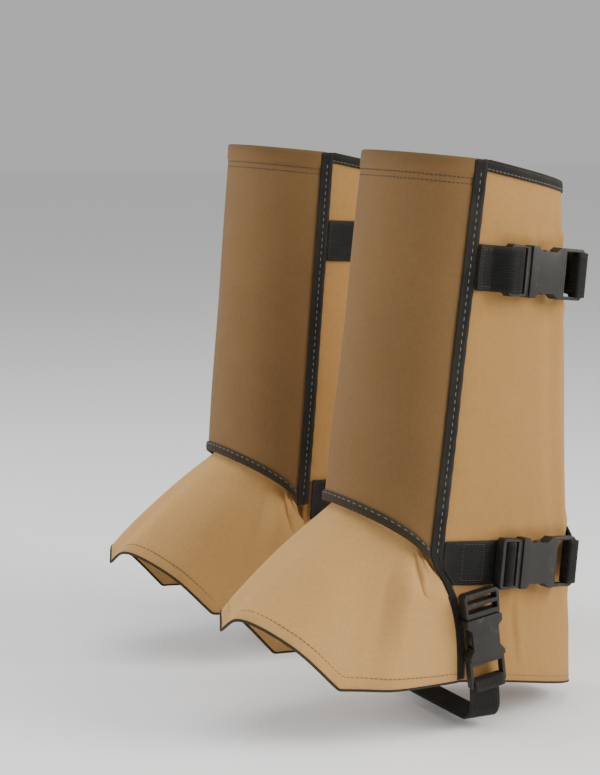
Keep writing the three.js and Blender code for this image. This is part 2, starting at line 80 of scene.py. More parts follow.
ROOT_BODY = "gaiters"
log = logging.getLogger("gaiters")


# ---------------------------------------------------------------- arithmetic on whole arrays


def smooth(x: np.ndarray | float) -> np.ndarray:
    """Ramp from 0 to 1 as x goes from 0 to 1: three x squared less two x cubed."""
    t = np.clip(x, 0.0, 1.0)
    return t * t * (3 - 2 * t)


def bump(x: np.ndarray, centre: float, width: float) -> np.ndarray:
    """Bell curve of height 1: e to the minus square of the distance from centre over width."""
    return np.exp(-(((x - centre) / width) ** 2))


def unit(v: np.ndarray) -> np.ndarray:
    """Vectors divided by their own lengths."""
    return v / np.maximum(np.linalg.norm(v, axis=-1, keepdims=True), 1e-9)


def grid_normals(grid: np.ndarray) -> np.ndarray:
    """Unit normals of a grid of points: the cross product of its two central differences.

    Args:
        grid: Points, rows by columns by 3.

    Returns:
        Normals of the same shape.
    """
    return unit(np.cross(np.gradient(grid, axis=0), np.gradient(grid, axis=1)))


def arc_lengths(grid: np.ndarray, axis: int) -> np.ndarray:
    """Running length along one axis of a grid of points, from its first line.

    Args:
        grid: Points, rows by columns by 3.
        axis: 0 to run down the rows, 1 to run along the columns.

    Returns:
        Lengths, rows by columns.
    """
    steps = np.linalg.norm(np.diff(grid, axis=axis), axis=-1)
    start = np.zeros_like(np.take(steps, [0], axis=axis))
    return np.concatenate([start, np.cumsum(steps, axis=axis)], axis=axis)


def through(points: np.ndarray, t: np.ndarray) -> np.ndarray:
    """Smooth curve through points: a Catmull-Rom spline whose knots lie a root of a chord apart.

    Args:
        points: The points, n by 3.
        t: Places on the curve, from 0 at the first point to 1 at the last.

    Returns:
        One point for each place.
    """
    last = len(points) - 1
    padded = np.vstack([2 * points[0] - points[1], points, 2 * points[-1] - points[-2]])
    at = np.clip(np.asarray(t, float), 0, 1) * last
    i = np.minimum(at.astype(int), last - 1)
    w = (at - i)[:, None]
    p0, p1, p2, p3 = (padded[i + k] for k in range(4))
    d0, d1, d2 = (
        np.sqrt(np.linalg.norm(b - a, axis=1, keepdims=True)) for a, b in ((p0, p1), (p1, p2), (p2, p3))
    )
    m1 = ((p1 - p0) / d0 - (p2 - p0) / (d0 + d1) + (p2 - p1) / d1) * d1
    m2 = ((p2 - p1) / d1 - (p3 - p1) / (d1 + d2) + (p3 - p2) / d2) * d1
    return (
        p1 + m1 * w + (-3 * p1 + 3 * p2 - 2 * m1 - m2) * w**2 + (2 * p1 - 2 * p2 + m1 + m2) * w**3
    )


def resample(path: np.ndarray, pitch: float, start: float = 0.5) -> tuple[np.ndarray, np.ndarray]:
    """Even steps along a polyline.

    Args:
        path: Columns to carry along, the first three being the point.
        pitch: Distance between two steps.
        start: Share of a pitch left free at each end.

    Returns:
        The interpolated columns at each step, and the unit tangents there.
    """
    length = np.concatenate([[0], np.cumsum(np.linalg.norm(np.diff(path[:, :3], axis=0), axis=1))])
    count = max(int(length[-1] / pitch - 2 * start) + 1, 2)
    at = np.linspace(start * pitch, length[-1] - start * pitch, count)
    columns = np.stack([np.interp(at, length, path[:, k]) for k in range(path.shape[1])], axis=1)
    slopes = np.gradient(path[:, :3], axis=0)
    tangents = np.stack([np.interp(at, length, slopes[:, k]) for k in range(3)], axis=1)
    return columns, unit(tangents)


# ---------------------------------------------------------------- surfaces


@dataclass
class Surface:
    """Vertices, four-sided faces, flat-pattern coordinates and distance from the cut edge."""

    points: np.ndarray
    faces: np.ndarray
    flat: np.ndarray
    edge: np.ndarray

    @staticmethod
    def join(parts: list["Surface"]) -> "Surface":
        """One surface of several, each left as its own closed body."""
        starts = np.cumsum([0] + [len(p.points) for p in parts[:-1]])
        return Surface(
            np.concatenate([p.points for p in parts]),
            np.concatenate([p.faces + s for p, s in zip(parts, starts)]),
            np.concatenate([p.flat for p in parts]),
            np.concatenate([p.edge for p in parts]),
        )


def wall(grid: np.ndarray, low: np.ndarray | float, high: np.ndarray | float) -> Surface:
    """Closed cloth wall: the grid moved along its normals to low and to high, with a rolled edge.

    The rolled edge is one more loop of points half-way through the cloth, pushed out past the
    cut edge by two fifths of the thickness.

    Args:
        grid: Points, rows by columns by 3, whose normals point outwards.
        low: Distance to the inner face.
        high: Distance to the outer face.

    Returns:
        The closed surface.
    """
    rows, columns = grid.shape[:2]
    normals = grid_normals(grid)
    low, high = (np.broadcast_to(np.asarray(v, float), (rows, columns)) for v in (low, high))
    outer = grid + normals * high[..., None]
    inner = grid + normals * low[..., None]
    index = np.arange(rows * columns).reshape(rows, columns)
    ring = np.concatenate([index[:-1, 0], index[-1, :-1], index[:0:-1, -1], index[0, :0:-1]])
    away = np.zeros_like(grid)
    away[:, 0] += unit(grid[:, 0] - grid[:, 1])
    away[:, -1] += unit(grid[:, -1] - grid[:, -2])
    away[0] += unit(grid[0] - grid[1])
    away[-1] += unit(grid[-1] - grid[-2])
    middle = (outer + inner) / 2 + unit(away) * (0.4 * (high - low))[..., None]
    size = rows * columns
    here = np.arange(len(ring))
    following = np.roll(here, -1)
    rim = 2 * size + here
    next_rim = 2 * size + following
    quads = np.stack([index[:-1, :-1], index[1:, :-1], index[1:, 1:], index[:-1, 1:]], -1).reshape(-1, 4)
    faces = np.concatenate([
        quads,
        quads[:, ::-1] + size,
        np.stack([ring + size, ring[following] + size, next_rim, rim], 1),
        np.stack([rim, next_rim, ring[following], ring], 1),
    ])
    u, v = arc_lengths(grid, 0), arc_lengths(grid, 1)
    edge = np.minimum(np.minimum(u, u[-1] - u), np.minimum(v, v[:, -1:] - v))
    flat = np.stack([u - u[rows // 2], v], -1).reshape(size, 2)
    edge = edge.reshape(-1)
    return Surface(
        np.concatenate([outer.reshape(size, 3), inner.reshape(size, 3), middle.reshape(size, 3)[ring]]),
        faces,
        np.concatenate([flat, flat, flat[ring]]),
        np.concatenate([edge, edge, edge[ring]]),
    )


def band(left: np.ndarray, right: np.ndarray, low: float, high: float, columns: int = 7) -> Surface:
    """Tape or webbing between two edge lines: straight across, and carried along their length."""
    share = np.linspace(0, 1, columns)[None, :, None]
    return wall(left[:, None] * (1 - share) + right[:, None] * share, low, high)


@dataclass(frozen=True)
class Stitch:
    """Sizes of one thread stitch, in millimetres."""

    pitch: float
    length: float
    width: float
    height: float
    lift: float = 0.05


RIM_STITCH = Stitch(3.2, 2.5, 0.7, 0.55)
CLOTH_STITCH = Stitch(3.4, 2.6, 0.6, 0.4, 0.0)
BINDING_STITCH = Stitch(3.4, 2.5, 0.6, 0.45)
FLAP_STITCH = Stitch(3.6, 2.8, 0.65, 0.45, 0.1)
SEAM_STITCH = Stitch(5.4, 3.0, 0.8, 0.5, 0.1)
WEBBING_STITCH = Stitch(3.0, 2.3, 0.6, 0.5, 0.1)


def cord_of(path: np.ndarray, normals: np.ndarray, radius: float, sides: int = 8) -> Surface:
    """Round piping: a circle carried along a path, with its ends closed to a point.

    Args:
        path: Centre line, n by 3.
        normals: Directions at right angles to it, n by 3.
        radius: Radius of the piping.
        sides: Points round the circle.

    Returns:
        The closed surface.
    """
    tangent = unit(np.gradient(path, axis=0))
    side = unit(np.cross(tangent, normals))
    normal = np.cross(side, tangent)
    turn = np.linspace(0, 2 * math.pi, sides, endpoint=False)
    size = np.full(len(path), radius)
    size[[0, -1]] = radius * 0.05
    ring = (
        path[:, None]
        + (np.cos(turn)[None, :, None] * normal[:, None] + np.sin(turn)[None, :, None] * side[:, None])
        * size[:, None, None]
    )
    index = np.arange(len(path) * sides).reshape(len(path), sides)
    after = np.roll(index, -1, axis=1)
    quads = np.stack([index[:-1], index[1:], after[1:], after[:-1]], -1).reshape(-1, 4)
    ends = []
    for line, flip in ((index[0], False), (index[-1], True)):
        fan = np.stack([line[[0] * (sides // 2 - 1)], line[1:-1:2], line[2::2], line[3::2]], 1)
        ends.append(fan[:, ::-1] if flip else fan)
    length = arc_lengths(ring, 0)
    flat = np.stack([length.ravel(), np.tile(turn * radius, len(path))], -1)
    return Surface(ring.reshape(-1, 3), np.concatenate([quads[:, ::-1], *ends]), flat, np.zeros(index.size))


def stitching(path: np.ndarray, normals: np.ndarray, stitch: Stitch) -> Surface:
    """Row of separate thread stitches, each a small capsule half sunk in the cloth.

    Args:
        path: Line of the seam, n by 3.
        normals: Outward directions of the cloth along it.
        stitch: Sizes of one stitch.

    Returns:
        All the stitches of the row.
    """
    columns, tangent = resample(np.hstack([path, normals]), stitch.pitch)
    centre, normal = columns[:, :3], unit(columns[:, 3:])
    side = unit(np.cross(normal, tangent))
    along = np.array([-0.5, -0.4, -0.15, 0.15, 0.4, 0.5]) * stitch.length
    fat = np.array([0.25, 0.8, 1.0, 1.0, 0.8, 0.25])
    turn = np.arange(6) * math.pi / 3
    x = np.repeat(along, 6)
    y = (fat[:, None] * np.cos(turn) * stitch.width / 2).ravel()
    z = (fat[:, None] * np.sin(turn) * stitch.height / 2).ravel() + stitch.lift
    shape = np.stack([x, y, z], 1)
    axes = np.stack([tangent, side, normal], 1)
    points = centre[:, None] + shape[None] @ axes
    index = np.arange(36).reshape(6, 6)
    after = np.roll(index, -1, axis=1)
    quads = np.stack([index[:-1], index[1:], after[1:], after[:-1]], -1).reshape(-1, 4)
    caps = np.array([[0, 1, 2, 3], [0, 3, 4, 5], [33, 32, 31, 30], [35, 34, 33, 30]])
    one = np.concatenate([quads[:, ::-1], caps[:, ::-1]])
    faces = (one[None] + 36 * np.arange(len(centre))[:, None, None]).reshape(-1, 4)
    flat = np.tile(shape[:, :2], (len(centre), 1))
    return Surface(points.reshape(-1, 3), faces, flat, np.zeros(len(flat)))


# ---------------------------------------------------------------- the leg's shape


class Threading(Enum):
    """How a strap's end passes its ladder: over both bars, or up between them."""

    OVER = "over"
    BETWEEN = "between"


class Direction(Enum):
    """Which way a buckle points from its ladder to its socket."""

    BACK = "back"
    DOWN = "down"


@dataclass(frozen=True)
class Leg:
    """Shape of one worn gaiter: an ellipse in front and a squarer curve behind the side seams."""

    name: str
    side: int
    lean: float
    seam_foot: float
    place: tuple[float, float]
    half_width: float = 60
    front_depth: float = 56
    squareness: float = 2.4
    rear_top: float = 126
    rear_foot: float = 147
    rim_front: float = 429
    rim_seam: float = 423
    rim_rear: float = 402
    shin_foot_front: float = 171
    shin_foot_seam: float = 124
    hem_at_seam: float = 43
    hem_fall: float = 30
    flap_rear_foot: tuple[float, float] = (13.7, 45)
    flap_rear_fall: float = 18
    fold_phase: float = 0.0

    def seam_y(self, z: np.ndarray) -> np.ndarray:
        """Y of the side seam: it leans back by lean for each millimetre of height."""
        return self.seam_foot + self.lean * (np.asarray(z, float) - self.shin_foot_seam)

    def rear_y(self, z: np.ndarray) -> np.ndarray:
        """Y of the rearmost line, straight from the foot to the top."""
        return self.rear_foot + (self.rear_top - self.rear_foot) * np.asarray(z, float) / self.rim_seam

    def section(self, turn: np.ndarray, z: np.ndarray) -> np.ndarray:
        """Points on the leg. In front x is sin and y is minus cos of the turn; behind, both are
        raised to two over the squareness.

        Args:
            turn: Degrees round the leg, 0 at the shin and 90 at the outer seam.
            z: Heights.

        Returns:
            Points, of the broadcast shape by 3.
        """
        turn, z = np.broadcast_arrays(np.asarray(turn, float), np.asarray(z, float))
        s, c = np.sin(np.radians(turn)), np.cos(np.radians(turn))
        p = 2 / self.squareness
        y = self.seam_y(z)
        behind = c < 0
        x = self.half_width * np.where(behind, np.sign(s) * np.abs(s) ** p, s)
        depth = np.where(behind, (self.rear_y(z) - y) * np.abs(c) ** p, -self.front_depth * c)
        return np.stack([x, y + depth, z], -1)

    def outward(self, turn: np.ndarray, z: np.ndarray) -> np.ndarray:
        """Outward directions of the leg: the cross product of its two slopes."""
        turn, z = np.broadcast_arrays(np.asarray(turn, float), np.asarray(z, float))
        around = self.section(turn + 1, z) - self.section(turn - 1, z)
        up = self.section(turn, z + 1) - self.section(turn, z - 1)
        return unit(np.cross(around, up))

    def skin(self, turn: np.ndarray, z: np.ndarray, offset: np.ndarray | float = 0) -> np.ndarray:
        """Points at a distance outside the leg's section."""
        return self.section(turn, z) + self.outward(turn, z) * np.asarray(offset, float)[..., None]

    def turn_at_y(self, y: np.ndarray, z: np.ndarray) -> np.ndarray:
        """Degrees on the outer side at which the section reaches a value of Y."""
        seam = self.seam_y(z)
        ahead = np.clip((seam - y) / self.front_depth, 0, 1)
        behind = np.clip((y - seam) / (self.rear_y(z) - seam), 0, 1)
        return np.where(
            y < seam,
            90 - np.degrees(np.arcsin(ahead)),
            90 + np.degrees(np.arcsin(behind ** (self.squareness / 2))),
        )

    def turn_from_seam(self, across: float, z: np.ndarray) -> np.ndarray:
        """Degrees on the outer side at a distance behind the seam, or ahead of it if negative."""
        return self.turn_at_y(self.seam_y(z) + across, z)

    def flap_rear(self, z: np.ndarray) -> np.ndarray:
        """Y of the instep's rear edge: it runs forward with the cube of the height."""
        y, foot = self.flap_rear_foot
        return y - self.flap_rear_fall * ((z - foot) / (self.shin_foot_seam - foot)) ** 3

    def strap_end(self, middle: float) -> float:
        """Degrees at which a strap stops short of the seam tape and of the instep's rear tape."""
        z = middle - STRAP.width / 2
        tape = self.seam_y(z) + TAPE.width / 2
        rear = self.flap_rear(z) + TAPE.rear_gap + TAPE.rear_width
        return float(self.turn_at_y(np.maximum(tape, rear) + TAPE.strap_gap, np.array(z)))

    def rear_share(self, turn: np.ndarray) -> np.ndarray:
        """Share of the way from the seam to the rearmost line."""
        return np.maximum(0, -np.cos(np.radians(turn))) ** (2 / self.squareness)

    def shin_foot(self, turn: np.ndarray) -> np.ndarray:
        """Lower edge of the shin cover: an arch over the instep, cosine to the power 0.6."""
        rise = self.shin_foot_front - self.shin_foot_seam
        return self.shin_foot_seam + rise * np.maximum(0, np.cos(np.radians(turn))) ** 0.6

    def shin_rim(self, turn: np.ndarray) -> np.ndarray:
        """Upper edge of the shin cover."""
        return self.rim_seam + (self.rim_front - self.rim_seam) * np.cos(np.radians(turn))

    def calf_rim(self, turn: np.ndarray) -> np.ndarray:
        """Upper edge of the calf panels, lowest at the rear."""
        return self.rim_seam - (self.rim_seam - self.rim_rear) * self.rear_share(turn)

    def calf_hem(self, turn: np.ndarray) -> np.ndarray:
        """Lower edge of the calf panels, dipping toward the heel."""
        return self.hem_at_seam - self.hem_fall * self.rear_share(turn) ** 1.6

    def drape(self, turn: np.ndarray, z: np.ndarray) -> np.ndarray:
        """How far the cloth stands off its plain section, as a sum of bells and sines.

        Args:
            turn: Degrees round the leg.
            z: Heights.

        Returns:
            Distances outwards.
        """
        turn, z = np.broadcast_arrays(np.asarray(turn, float), np.asarray(z, float))
        y = self.section(turn, z)[..., 1]
        behind = smooth((turn - 96) / 14) * smooth((264 - turn) / 14)
        ripple = 0.5 + 0.5 * np.sin(turn * 0.62 + self.fold_phase)
        heel = 1.2 * bump(turn, 165, 18) * bump(z, 60, 30)
        pillows = self.pillows(y, z) * (0.55 + 0.45 * ripple)
        total = self.waves(turn, z) + behind * (pillows + self.rear_folds(turn, z) + heel)
        total = total + self.puckers(turn, z)
        return total + np.where(turn < 180, behind * self.crease(y, z), 0)

    def waves(self, turn: np.ndarray, z: np.ndarray) -> np.ndarray:
        """Slow waves of the whole cloth: two slanting sines."""
        phase = self.fold_phase
        slow = 0.35 * np.sin(np.radians(turn * 3) + z / 47 + phase)
        return slow + 0.25 * np.sin(z / 23 + turn / 19 + 2 * phase)

    def pillows(self, y: np.ndarray, z: np.ndarray) -> np.ndarray:
        """Swelling above and below each strap, a bell at each edge, and a dip under the strap."""
        total = np.zeros_like(z)
        for level in (STRAP.upper, STRAP.lower):
            off = np.abs(z - STRAP.middle(level, y))
            total = total + 1.5 * bump(off, 25, 6.5) - 0.45 * bump(off, 0, 14)
        return total

    def rear_folds(self, turn: np.ndarray, z: np.ndarray) -> np.ndarray:
        """Two upright folds at the rear, bells across that wander with height by a sine."""
        sway = 3 * np.sin(z / 60)
        outer = 2.0 * bump(turn, 146 + sway, 5) - 1.0 * bump(turn, 136 + sway, 5)
        inner = 1.4 * bump(turn, 214 + 4 * np.sin(z / 50 + self.fold_phase), 7)
        return smooth((z - 60) / 60) * smooth((410 - z) / 50) * (outer + inner)

    def crease(self, y: np.ndarray, z: np.ndarray) -> np.ndarray:
        """The short upright crease behind the stirrup: a narrow dip beside a wider swelling."""
        sway = 3 * np.sin(z / 19)
        dip = -1.1 * bump(y, 68 + sway, 2.2) * bump(z, 74, 26)
        return dip + 0.9 * bump(y, 73 + sway, 4) * bump(z, 74, 28)

    def puckers(self, turn: np.ndarray, z: np.ndarray) -> np.ndarray:
        """Small gathers along the side seams: a fast uneven sine that fades off the seam."""
        near = bump(turn, 90, 7) + bump(turn, 270, 7) + bump(turn, -90, 7)
        return 0.22 * near * np.sin(z / 2.6 + 1.3 * np.sin(z / 17 + self.fold_phase))

    def cloth(self, turn: np.ndarray, z: np.ndarray, offset: np.ndarray | float = 0) -> np.ndarray:
        """Points on the draped cloth."""
        return self.skin(turn, z, self.drape(turn, z) + offset)

    def row(self, points: np.ndarray) -> np.ndarray:
        """Points moved from the leg's own axes into the row's, in metres."""
        moved = points * np.array([self.side, 1, 1]) + np.array([*self.place, 0])
        return moved * MM


@dataclass(frozen=True)
class SeamTape:
    """Sizes of the seam tape, and of its foot behind the instep."""

    width: float = 10
    strap_gap: float = 1
    rear_width: float = 5
    rear_gap: float = 1.8
    foot_trim: float = 8
    bend_rise: float = 15
    lower_rise: float = 2


TAPE = SeamTape()


@dataclass(frozen=True)
class Level:
    """Where a buckle's mouth touches the leg."""

    y: float
    height: float


@dataclass(frozen=True)
class Webbing:
    """Sizes of the webbing and where its straps run."""

    width: float = 32
    stirrup_width: float = 25
    thickness: float = 1.8
    gap: float = 0.6
    droop: float = 6
    anchor_rise: float = 9
    upper: Level = Level(65.5, 342.5)
    lower: Level = Level(63, 126)
    stirrup: Level = Level(29, 91)
    stirrup_slant: float = 7.4
    leaves_calf: float = 165

    def middle(self, level: Level, y: np.ndarray) -> np.ndarray:
        """Height of a strap's middle where it is at a value of Y: it droops to the rear."""
        return level.height - (y - level.y) * math.tan(math.radians(self.droop))


STRAP = Webbing()


@dataclass(frozen=True)
class Buckle:
    """Sizes shared by the side-release buckles."""

    thickness: float = 10
    ladder_length: float = 19.5
    socket_length: float = 54
    loop_bar: float = 5
    loop_thickness: float = 6
    bar_clearance: float = 0.4

    def axes(
        self, leg: Leg, level: Level, way: Direction, tilt: float, clearance: float
    ) -> tuple[np.ndarray, np.ndarray]:
        """Axes along, across and off the buckle, as rows, and its mouth's centre."""
        turn = leg.turn_at_y(np.array(level.y), np.array(level.height))
        n = leg.outward(turn, level.height) * [1, 1, 0]
        n = unit(n)
        back, down = np.array([-n[1], n[0], 0]), np.array([0, 0, -1.0])
        first, second = (down, back) if way is Direction.DOWN else (back, down)
        along = first * math.cos(math.radians(tilt)) + second * math.sin(math.radians(tilt))
        across = np.cross(n, along)
        height = STRAP.gap + STRAP.thickness + clearance + self.thickness / 2
        return np.stack([along, across, n]), leg.section(turn, level.height) + n * height

    def loop_turn(self, axes: np.ndarray, mouth: np.ndarray, half: float) -> list[np.ndarray]:
        """Edges of webbing that lies over the loop's end bar, round it in an arc and back under.

        Args:
            axes: Axes along, across and off the buckle.
            mouth: Centre of the buckle's mouth.
            half: Half the width of the webbing.

        Returns:
            The two edge lines.
        """
        bar = self.socket_length - self.loop_bar
        thick = self.loop_thickness / 2
        radius = STRAP.thickness / 2 + self.bar_clearance
        arc = np.radians(np.linspace(90, 180, 7))
        over = np.vstack([
            [[self.socket_length + 1, thick + radius]],
            np.stack([bar + radius * np.cos(arc), thick + radius * np.sin(arc)], 1),
        ])
        turn = np.vstack([over, over[::-1] * [1, -1]])
        return [
            np.stack([turn[:, 0], np.full(len(turn), e * half), turn[:, 1]], 1) @ axes + mouth
            for e in (-1, 1)
        ]


BUCKLE = Buckle()


# ---------------------------------------------------------------- finishes


def new_group(name: str, inputs: dict[str, float], outputs: tuple[str, ...]) -> bpy.types.NodeTree:
    """An empty shader node group whose sockets all carry a value.

    Args:
        name: Name of the group.
        inputs: Starting value of each input.
        outputs: Names of the outputs.

    Returns:
        The node tree, with its Group Input and Group Output nodes named in and out.
    """
    tree = bpy.data.node_groups.new(name, "ShaderNodeTree")
    for key, value in inputs.items():
        socket = tree.interface.new_socket(name=key, in_out="INPUT", socket_type="NodeSocketFloat")
        socket.default_value = value
    for key in outputs:
        tree.interface.new_socket(name=key, in_out="OUTPUT", socket_type="NodeSocketFloat")
    tree.nodes.new("NodeGroupInput").name = "in"
    tree.nodes.new("NodeGroupOutput").name = "out"
    return tree


class Wiring:
    """Short ways to add and join the nodes of one tree."""

    def __init__(self, tree: bpy.types.NodeTree) -> None:
        """Keeps the tree that nodes go into."""
        self.tree = tree

    def join(self, source: Socket | float | tuple, target: Socket) -> None:
        """Links a socket to another, or sets a plain value on it."""
        if isinstance(source, Socket):
            self.tree.links.new(source, target)
        else:
            target.default_value = source

    def math(self, kind: str, a: object, b: object = 0.0, c: object = 0.0) -> Socket:
        """One Math node."""
        node = self.tree.nodes.new("ShaderNodeMath")
        node.operation = kind
        for value, socket in zip((a, b, c), node.inputs):
            self.join(value, socket)
        return node.outputs[0]

    def mix(self, share: object, a: object, b: object, kind: str = "MIX") -> Socket:
        """One colour Mix node."""
        node = self.tree.nodes.new("ShaderNodeMix")
        node.data_type = "RGBA"
        node.blend_type = kind
        self.join(share, node.inputs["Factor"])
        self.join(a, node.inputs[6])
        self.join(b, node.inputs[7])
        return node.outputs[2]

    def noise(self, where: Socket, scale: float, detail: float = 3, rough: float = 0.55) -> Socket:
        """One Noise Texture node, its factor output."""
        node = self.tree.nodes.new("ShaderNodeTexNoise")
        self.join(where, node.inputs["Vector"])
        node.inputs["Scale"].default_value = scale
        node.inputs["Detail"].default_value = detail
        node.inputs["Roughness"].default_value = rough
        return node.outputs["Fac"]

    def spread(self, value: object, low: float, high: float, to_low: float, to_high: float) -> Socket:
        """One Map Range node, clamped."""
        node = self.tree.nodes.new("ShaderNodeMapRange")
        for socket, v in zip(node.inputs, (value, low, high, to_low, to_high)):
            self.join(v, socket)
        return node.outputs[0]

    def attribute(self, name: str) -> Socket:
        """The factor of a mesh attribute."""
        node = self.tree.nodes.new("ShaderNodeAttribute")
        node.attribute_name = name
        return node.outputs["Fac"]

    def group(self, tree: bpy.types.NodeTree, **values: object) -> bpy.types.ShaderNodeGroup:
        """One node group with its inputs set."""
        node = self.tree.nodes.new("ShaderNodeGroup")
        node.node_tree = tree
        for key, value in values.items():
            self.join(value, node.inputs[key.replace("_", " ")])
        return node


def weave_group() -> bpy.types.NodeTree:
    """Plain weave: two sets of threads, each a half sine across and passing over and under.

    A thread's height is the sine of its width times a half plus a half cosine of the crossing
    threads, shifted by one at every second thread. The higher of the two sets shows.
    """
    tree = new_group(
        "plain weave",
        {"Across": 0, "Along": 0, "Threads": 1},
        ("Height", "Warp"),
    )
    w = Wiring(tree)
    source = tree.nodes["in"].outputs
    u = w.math("MULTIPLY", source["Across"], source["Threads"])
    v = w.math("MULTIPLY", source["Along"], source["Threads"])

    def thread(a: Socket, b: Socket, shift: float) -> Socket:
        """Height of one set of threads."""
        across = w.math("ABSOLUTE", w.math("SINE", w.math("MULTIPLY", a, math.pi)))
        phase = w.math("ADD", w.math("ADD", b, w.math("FLOOR", a)), shift)
        over = w.math("MULTIPLY_ADD", w.math("COSINE", w.math("MULTIPLY", phase, math.pi)), 0.5, 0.5)
        return w.math("MULTIPLY", across, over)

    warp, weft = thread(u, v, 0.5), thread(v, u, 1.5)
    w.join(w.math("MAXIMUM", warp, weft), tree.nodes["out"].inputs["Height"])
    w.join(w.math("GREATER_THAN", warp, weft), tree.nodes["out"].inputs["Warp"])
    return tree


def rib_group() -> bpy.types.NodeTree:
    """Woven ribs: a sine across the tape times a slower, slanting sine along each rib."""
    tree = new_group(
        "woven ribs",
        {"Across": 0, "Along": 0, "Ribs": 1, "Slant": 1},
        ("Height",),
    )
    w = Wiring(tree)
    source = tree.nodes["in"].outputs
    u = w.math("MULTIPLY", source["Across"], source["Ribs"])
    v = w.math("MULTIPLY", source["Along"], source["Ribs"])
    rib = w.math("ABSOLUTE", w.math("SINE", w.math("MULTIPLY", u, math.pi)))
    fold = w.math("ABSOLUTE", w.math("SUBTRACT", w.math("FRACT", w.math("MULTIPLY", u, 0.5)), 0.5))
    phase = w.math("ADD", v, w.math("MULTIPLY", fold, source["Slant"]))
    pick = w.math("ABSOLUTE", w.math("SINE", w.math("MULTIPLY", phase, math.pi)))
    plain = w.math("MULTIPLY", rib, 0.3)
    height = w.math("MULTIPLY_ADD", w.math("MULTIPLY", rib, pick), 0.7, plain)
    w.join(height, tree.nodes["out"].inputs["Height"])
    return tree


def soil_group() -> bpy.types.NodeTree:
    """Use and dirt: slow cloudy patches, darker close to a cut edge, and pale rubbed specks."""
    tree = new_group(
        "use and dirt",
        {"Edge": 20, "Reach": 9},
        ("Soiled", "Rubbed"),
    )
    w = Wiring(tree)
    source = tree.nodes["in"].outputs
    where = tree.nodes.new("ShaderNodeTexCoord").outputs["Object"]
    cloudy = w.noise(where, 14, 5, 0.6)
    fine = w.noise(where, 160, 3, 0.6)
    close = w.math("SUBTRACT", 1.0, w.math("DIVIDE", source["Edge"], source["Reach"]))
    close = w.math("MAXIMUM", close, 0.0)
    patches = w.spread(cloudy, 0.45, 0.8, 0.0, 0.5)
    soiled = w.math("MULTIPLY_ADD", w.math("MULTIPLY", close, cloudy), 0.9, patches)
    w.join(w.math("MINIMUM", soiled, 1.0), tree.nodes["out"].inputs["Soiled"])
    rubbed = w.math("MULTIPLY", w.spread(fine, 0.58, 0.75, 0.0, 1.0), w.spread(cloudy, 0.35, 0.6, 1.0, 0.0))
    w.join(rubbed, tree.nodes["out"].inputs["Rubbed"])
    return tree


@dataclass(frozen=True)
class Finish:
    """A material with its own Principled shader."""

    name: str
    colour: Triple
    roughness: float

    def shade(self, share: float) -> tuple[float, ...]:
        """The finish's own colour times a share, for a colour socket."""
        return (*(min(c * share, 1) for c in self.colour), 1)

    def start(self) -> tuple[Material, Wiring, bpy.types.Node]:
        """The material, its wiring and its shader."""
        material = bpy.data.materials.new(self.name)
        material.use_nodes = True
        material.diffuse_color = (*self.colour, 1)
        shader = material.node_tree.nodes["Principled BSDF"]
        shader.inputs["Roughness"].default_value = self.roughness
        return material, Wiring(material.node_tree), shader

    def flat_axes(self, w: Wiring) -> tuple[Socket, Socket, Socket]:
        """The flat pattern's coordinates: the pair together, and each by itself."""
        node = w.tree.nodes.new("ShaderNodeUVMap")
        node.uv_map = "flat"
        split = w.tree.nodes.new("ShaderNodeSeparateXYZ")
        w.join(node.outputs["UV"], split.inputs[0])
        return node.outputs["UV"], split.outputs[0], split.outputs[1]

    def raise_by(
        self, w: Wiring, shader: bpy.types.Node, heights: list[tuple[Socket, float, float]]
    ) -> None:
        """Bump nodes in a chain, each given as height, depth in metres and strength."""
        before = None
        for height, depth, strength in heights:
            node = w.tree.nodes.new("ShaderNodeBump")
            node.inputs["Distance"].default_value = depth
            node.inputs["Strength"].default_value = strength
            w.join(height, node.inputs["Height"])
            if before is not None:
                w.join(before, node.inputs["Normal"])
            before = node.outputs["Normal"]
        w.join(before, shader.inputs["Normal"])


@dataclass(frozen=True)
class Cloth(Finish):
    """Coated woven cloth with a soft sheen, slow colour changes, dirt and rubbed threads."""

    shadow: Triple = (0.1, 0.06, 0.03)
    threads_per_mm: float = 1.35
    sheen: float = 0.03
    soil: float = 0.5
    groups: dict = field(default_factory=dict, compare=False, hash=False)

    def build(self) -> Material:
        """The cloth's material."""
        material, w, shader = self.start()
        uv, u, v = self.flat_axes(w)
        weave = w.group(self.groups["weave"], Across=u, Along=v, Threads=self.threads_per_mm / UV_SCALE)
        soil = w.group(self.groups["soil"], Edge=w.attribute("edge"), Reach=11.0)
        where = w.tree.nodes.new("ShaderNodeTexCoord").outputs["Object"]
        drift = w.spread(w.noise(where, 7, 3), 0.3, 0.7, 0.0, 1.0)
        slub = w.noise(uv, 30, 4, 0.7)
        base = w.mix(drift, self.shade(1), self.shade(1.16))
        base = w.mix(w.spread(slub, 0.3, 0.75, 0.0, 0.22), base, (*self.shadow, 1))
        base = w.mix(w.math("MULTIPLY", weave.outputs["Warp"], 0.12), base, self.shade(0.7))
        base = w.mix(w.math("MULTIPLY", soil.outputs["Soiled"], self.soil), base, (*self.shadow, 1))
        base = w.mix(w.math("MULTIPLY", soil.outputs["Rubbed"], 0.16), base, self.shade(1.5))
        w.join(base, shader.inputs["Base Color"])
        rough = w.spread(w.noise(where, 40, 3), 0.3, 0.7, self.roughness - 0.08, self.roughness + 0.06)
        w.join(rough, shader.inputs["Roughness"])
        shader.inputs["Sheen Weight"].default_value = self.sheen
        shader.inputs["Sheen Roughness"].default_value = 0.5
        shader.inputs["Specular IOR Level"].default_value = 0.18
        crumple = w.noise(where, 26, 5, 0.6)
        threads = weave.outputs["Height"]
        self.raise_by(w, shader, [(crumple, 0.0022, 0.3), (slub, 0.0005, 0.25), (threads, 0.00025, 0.55)])
        return material


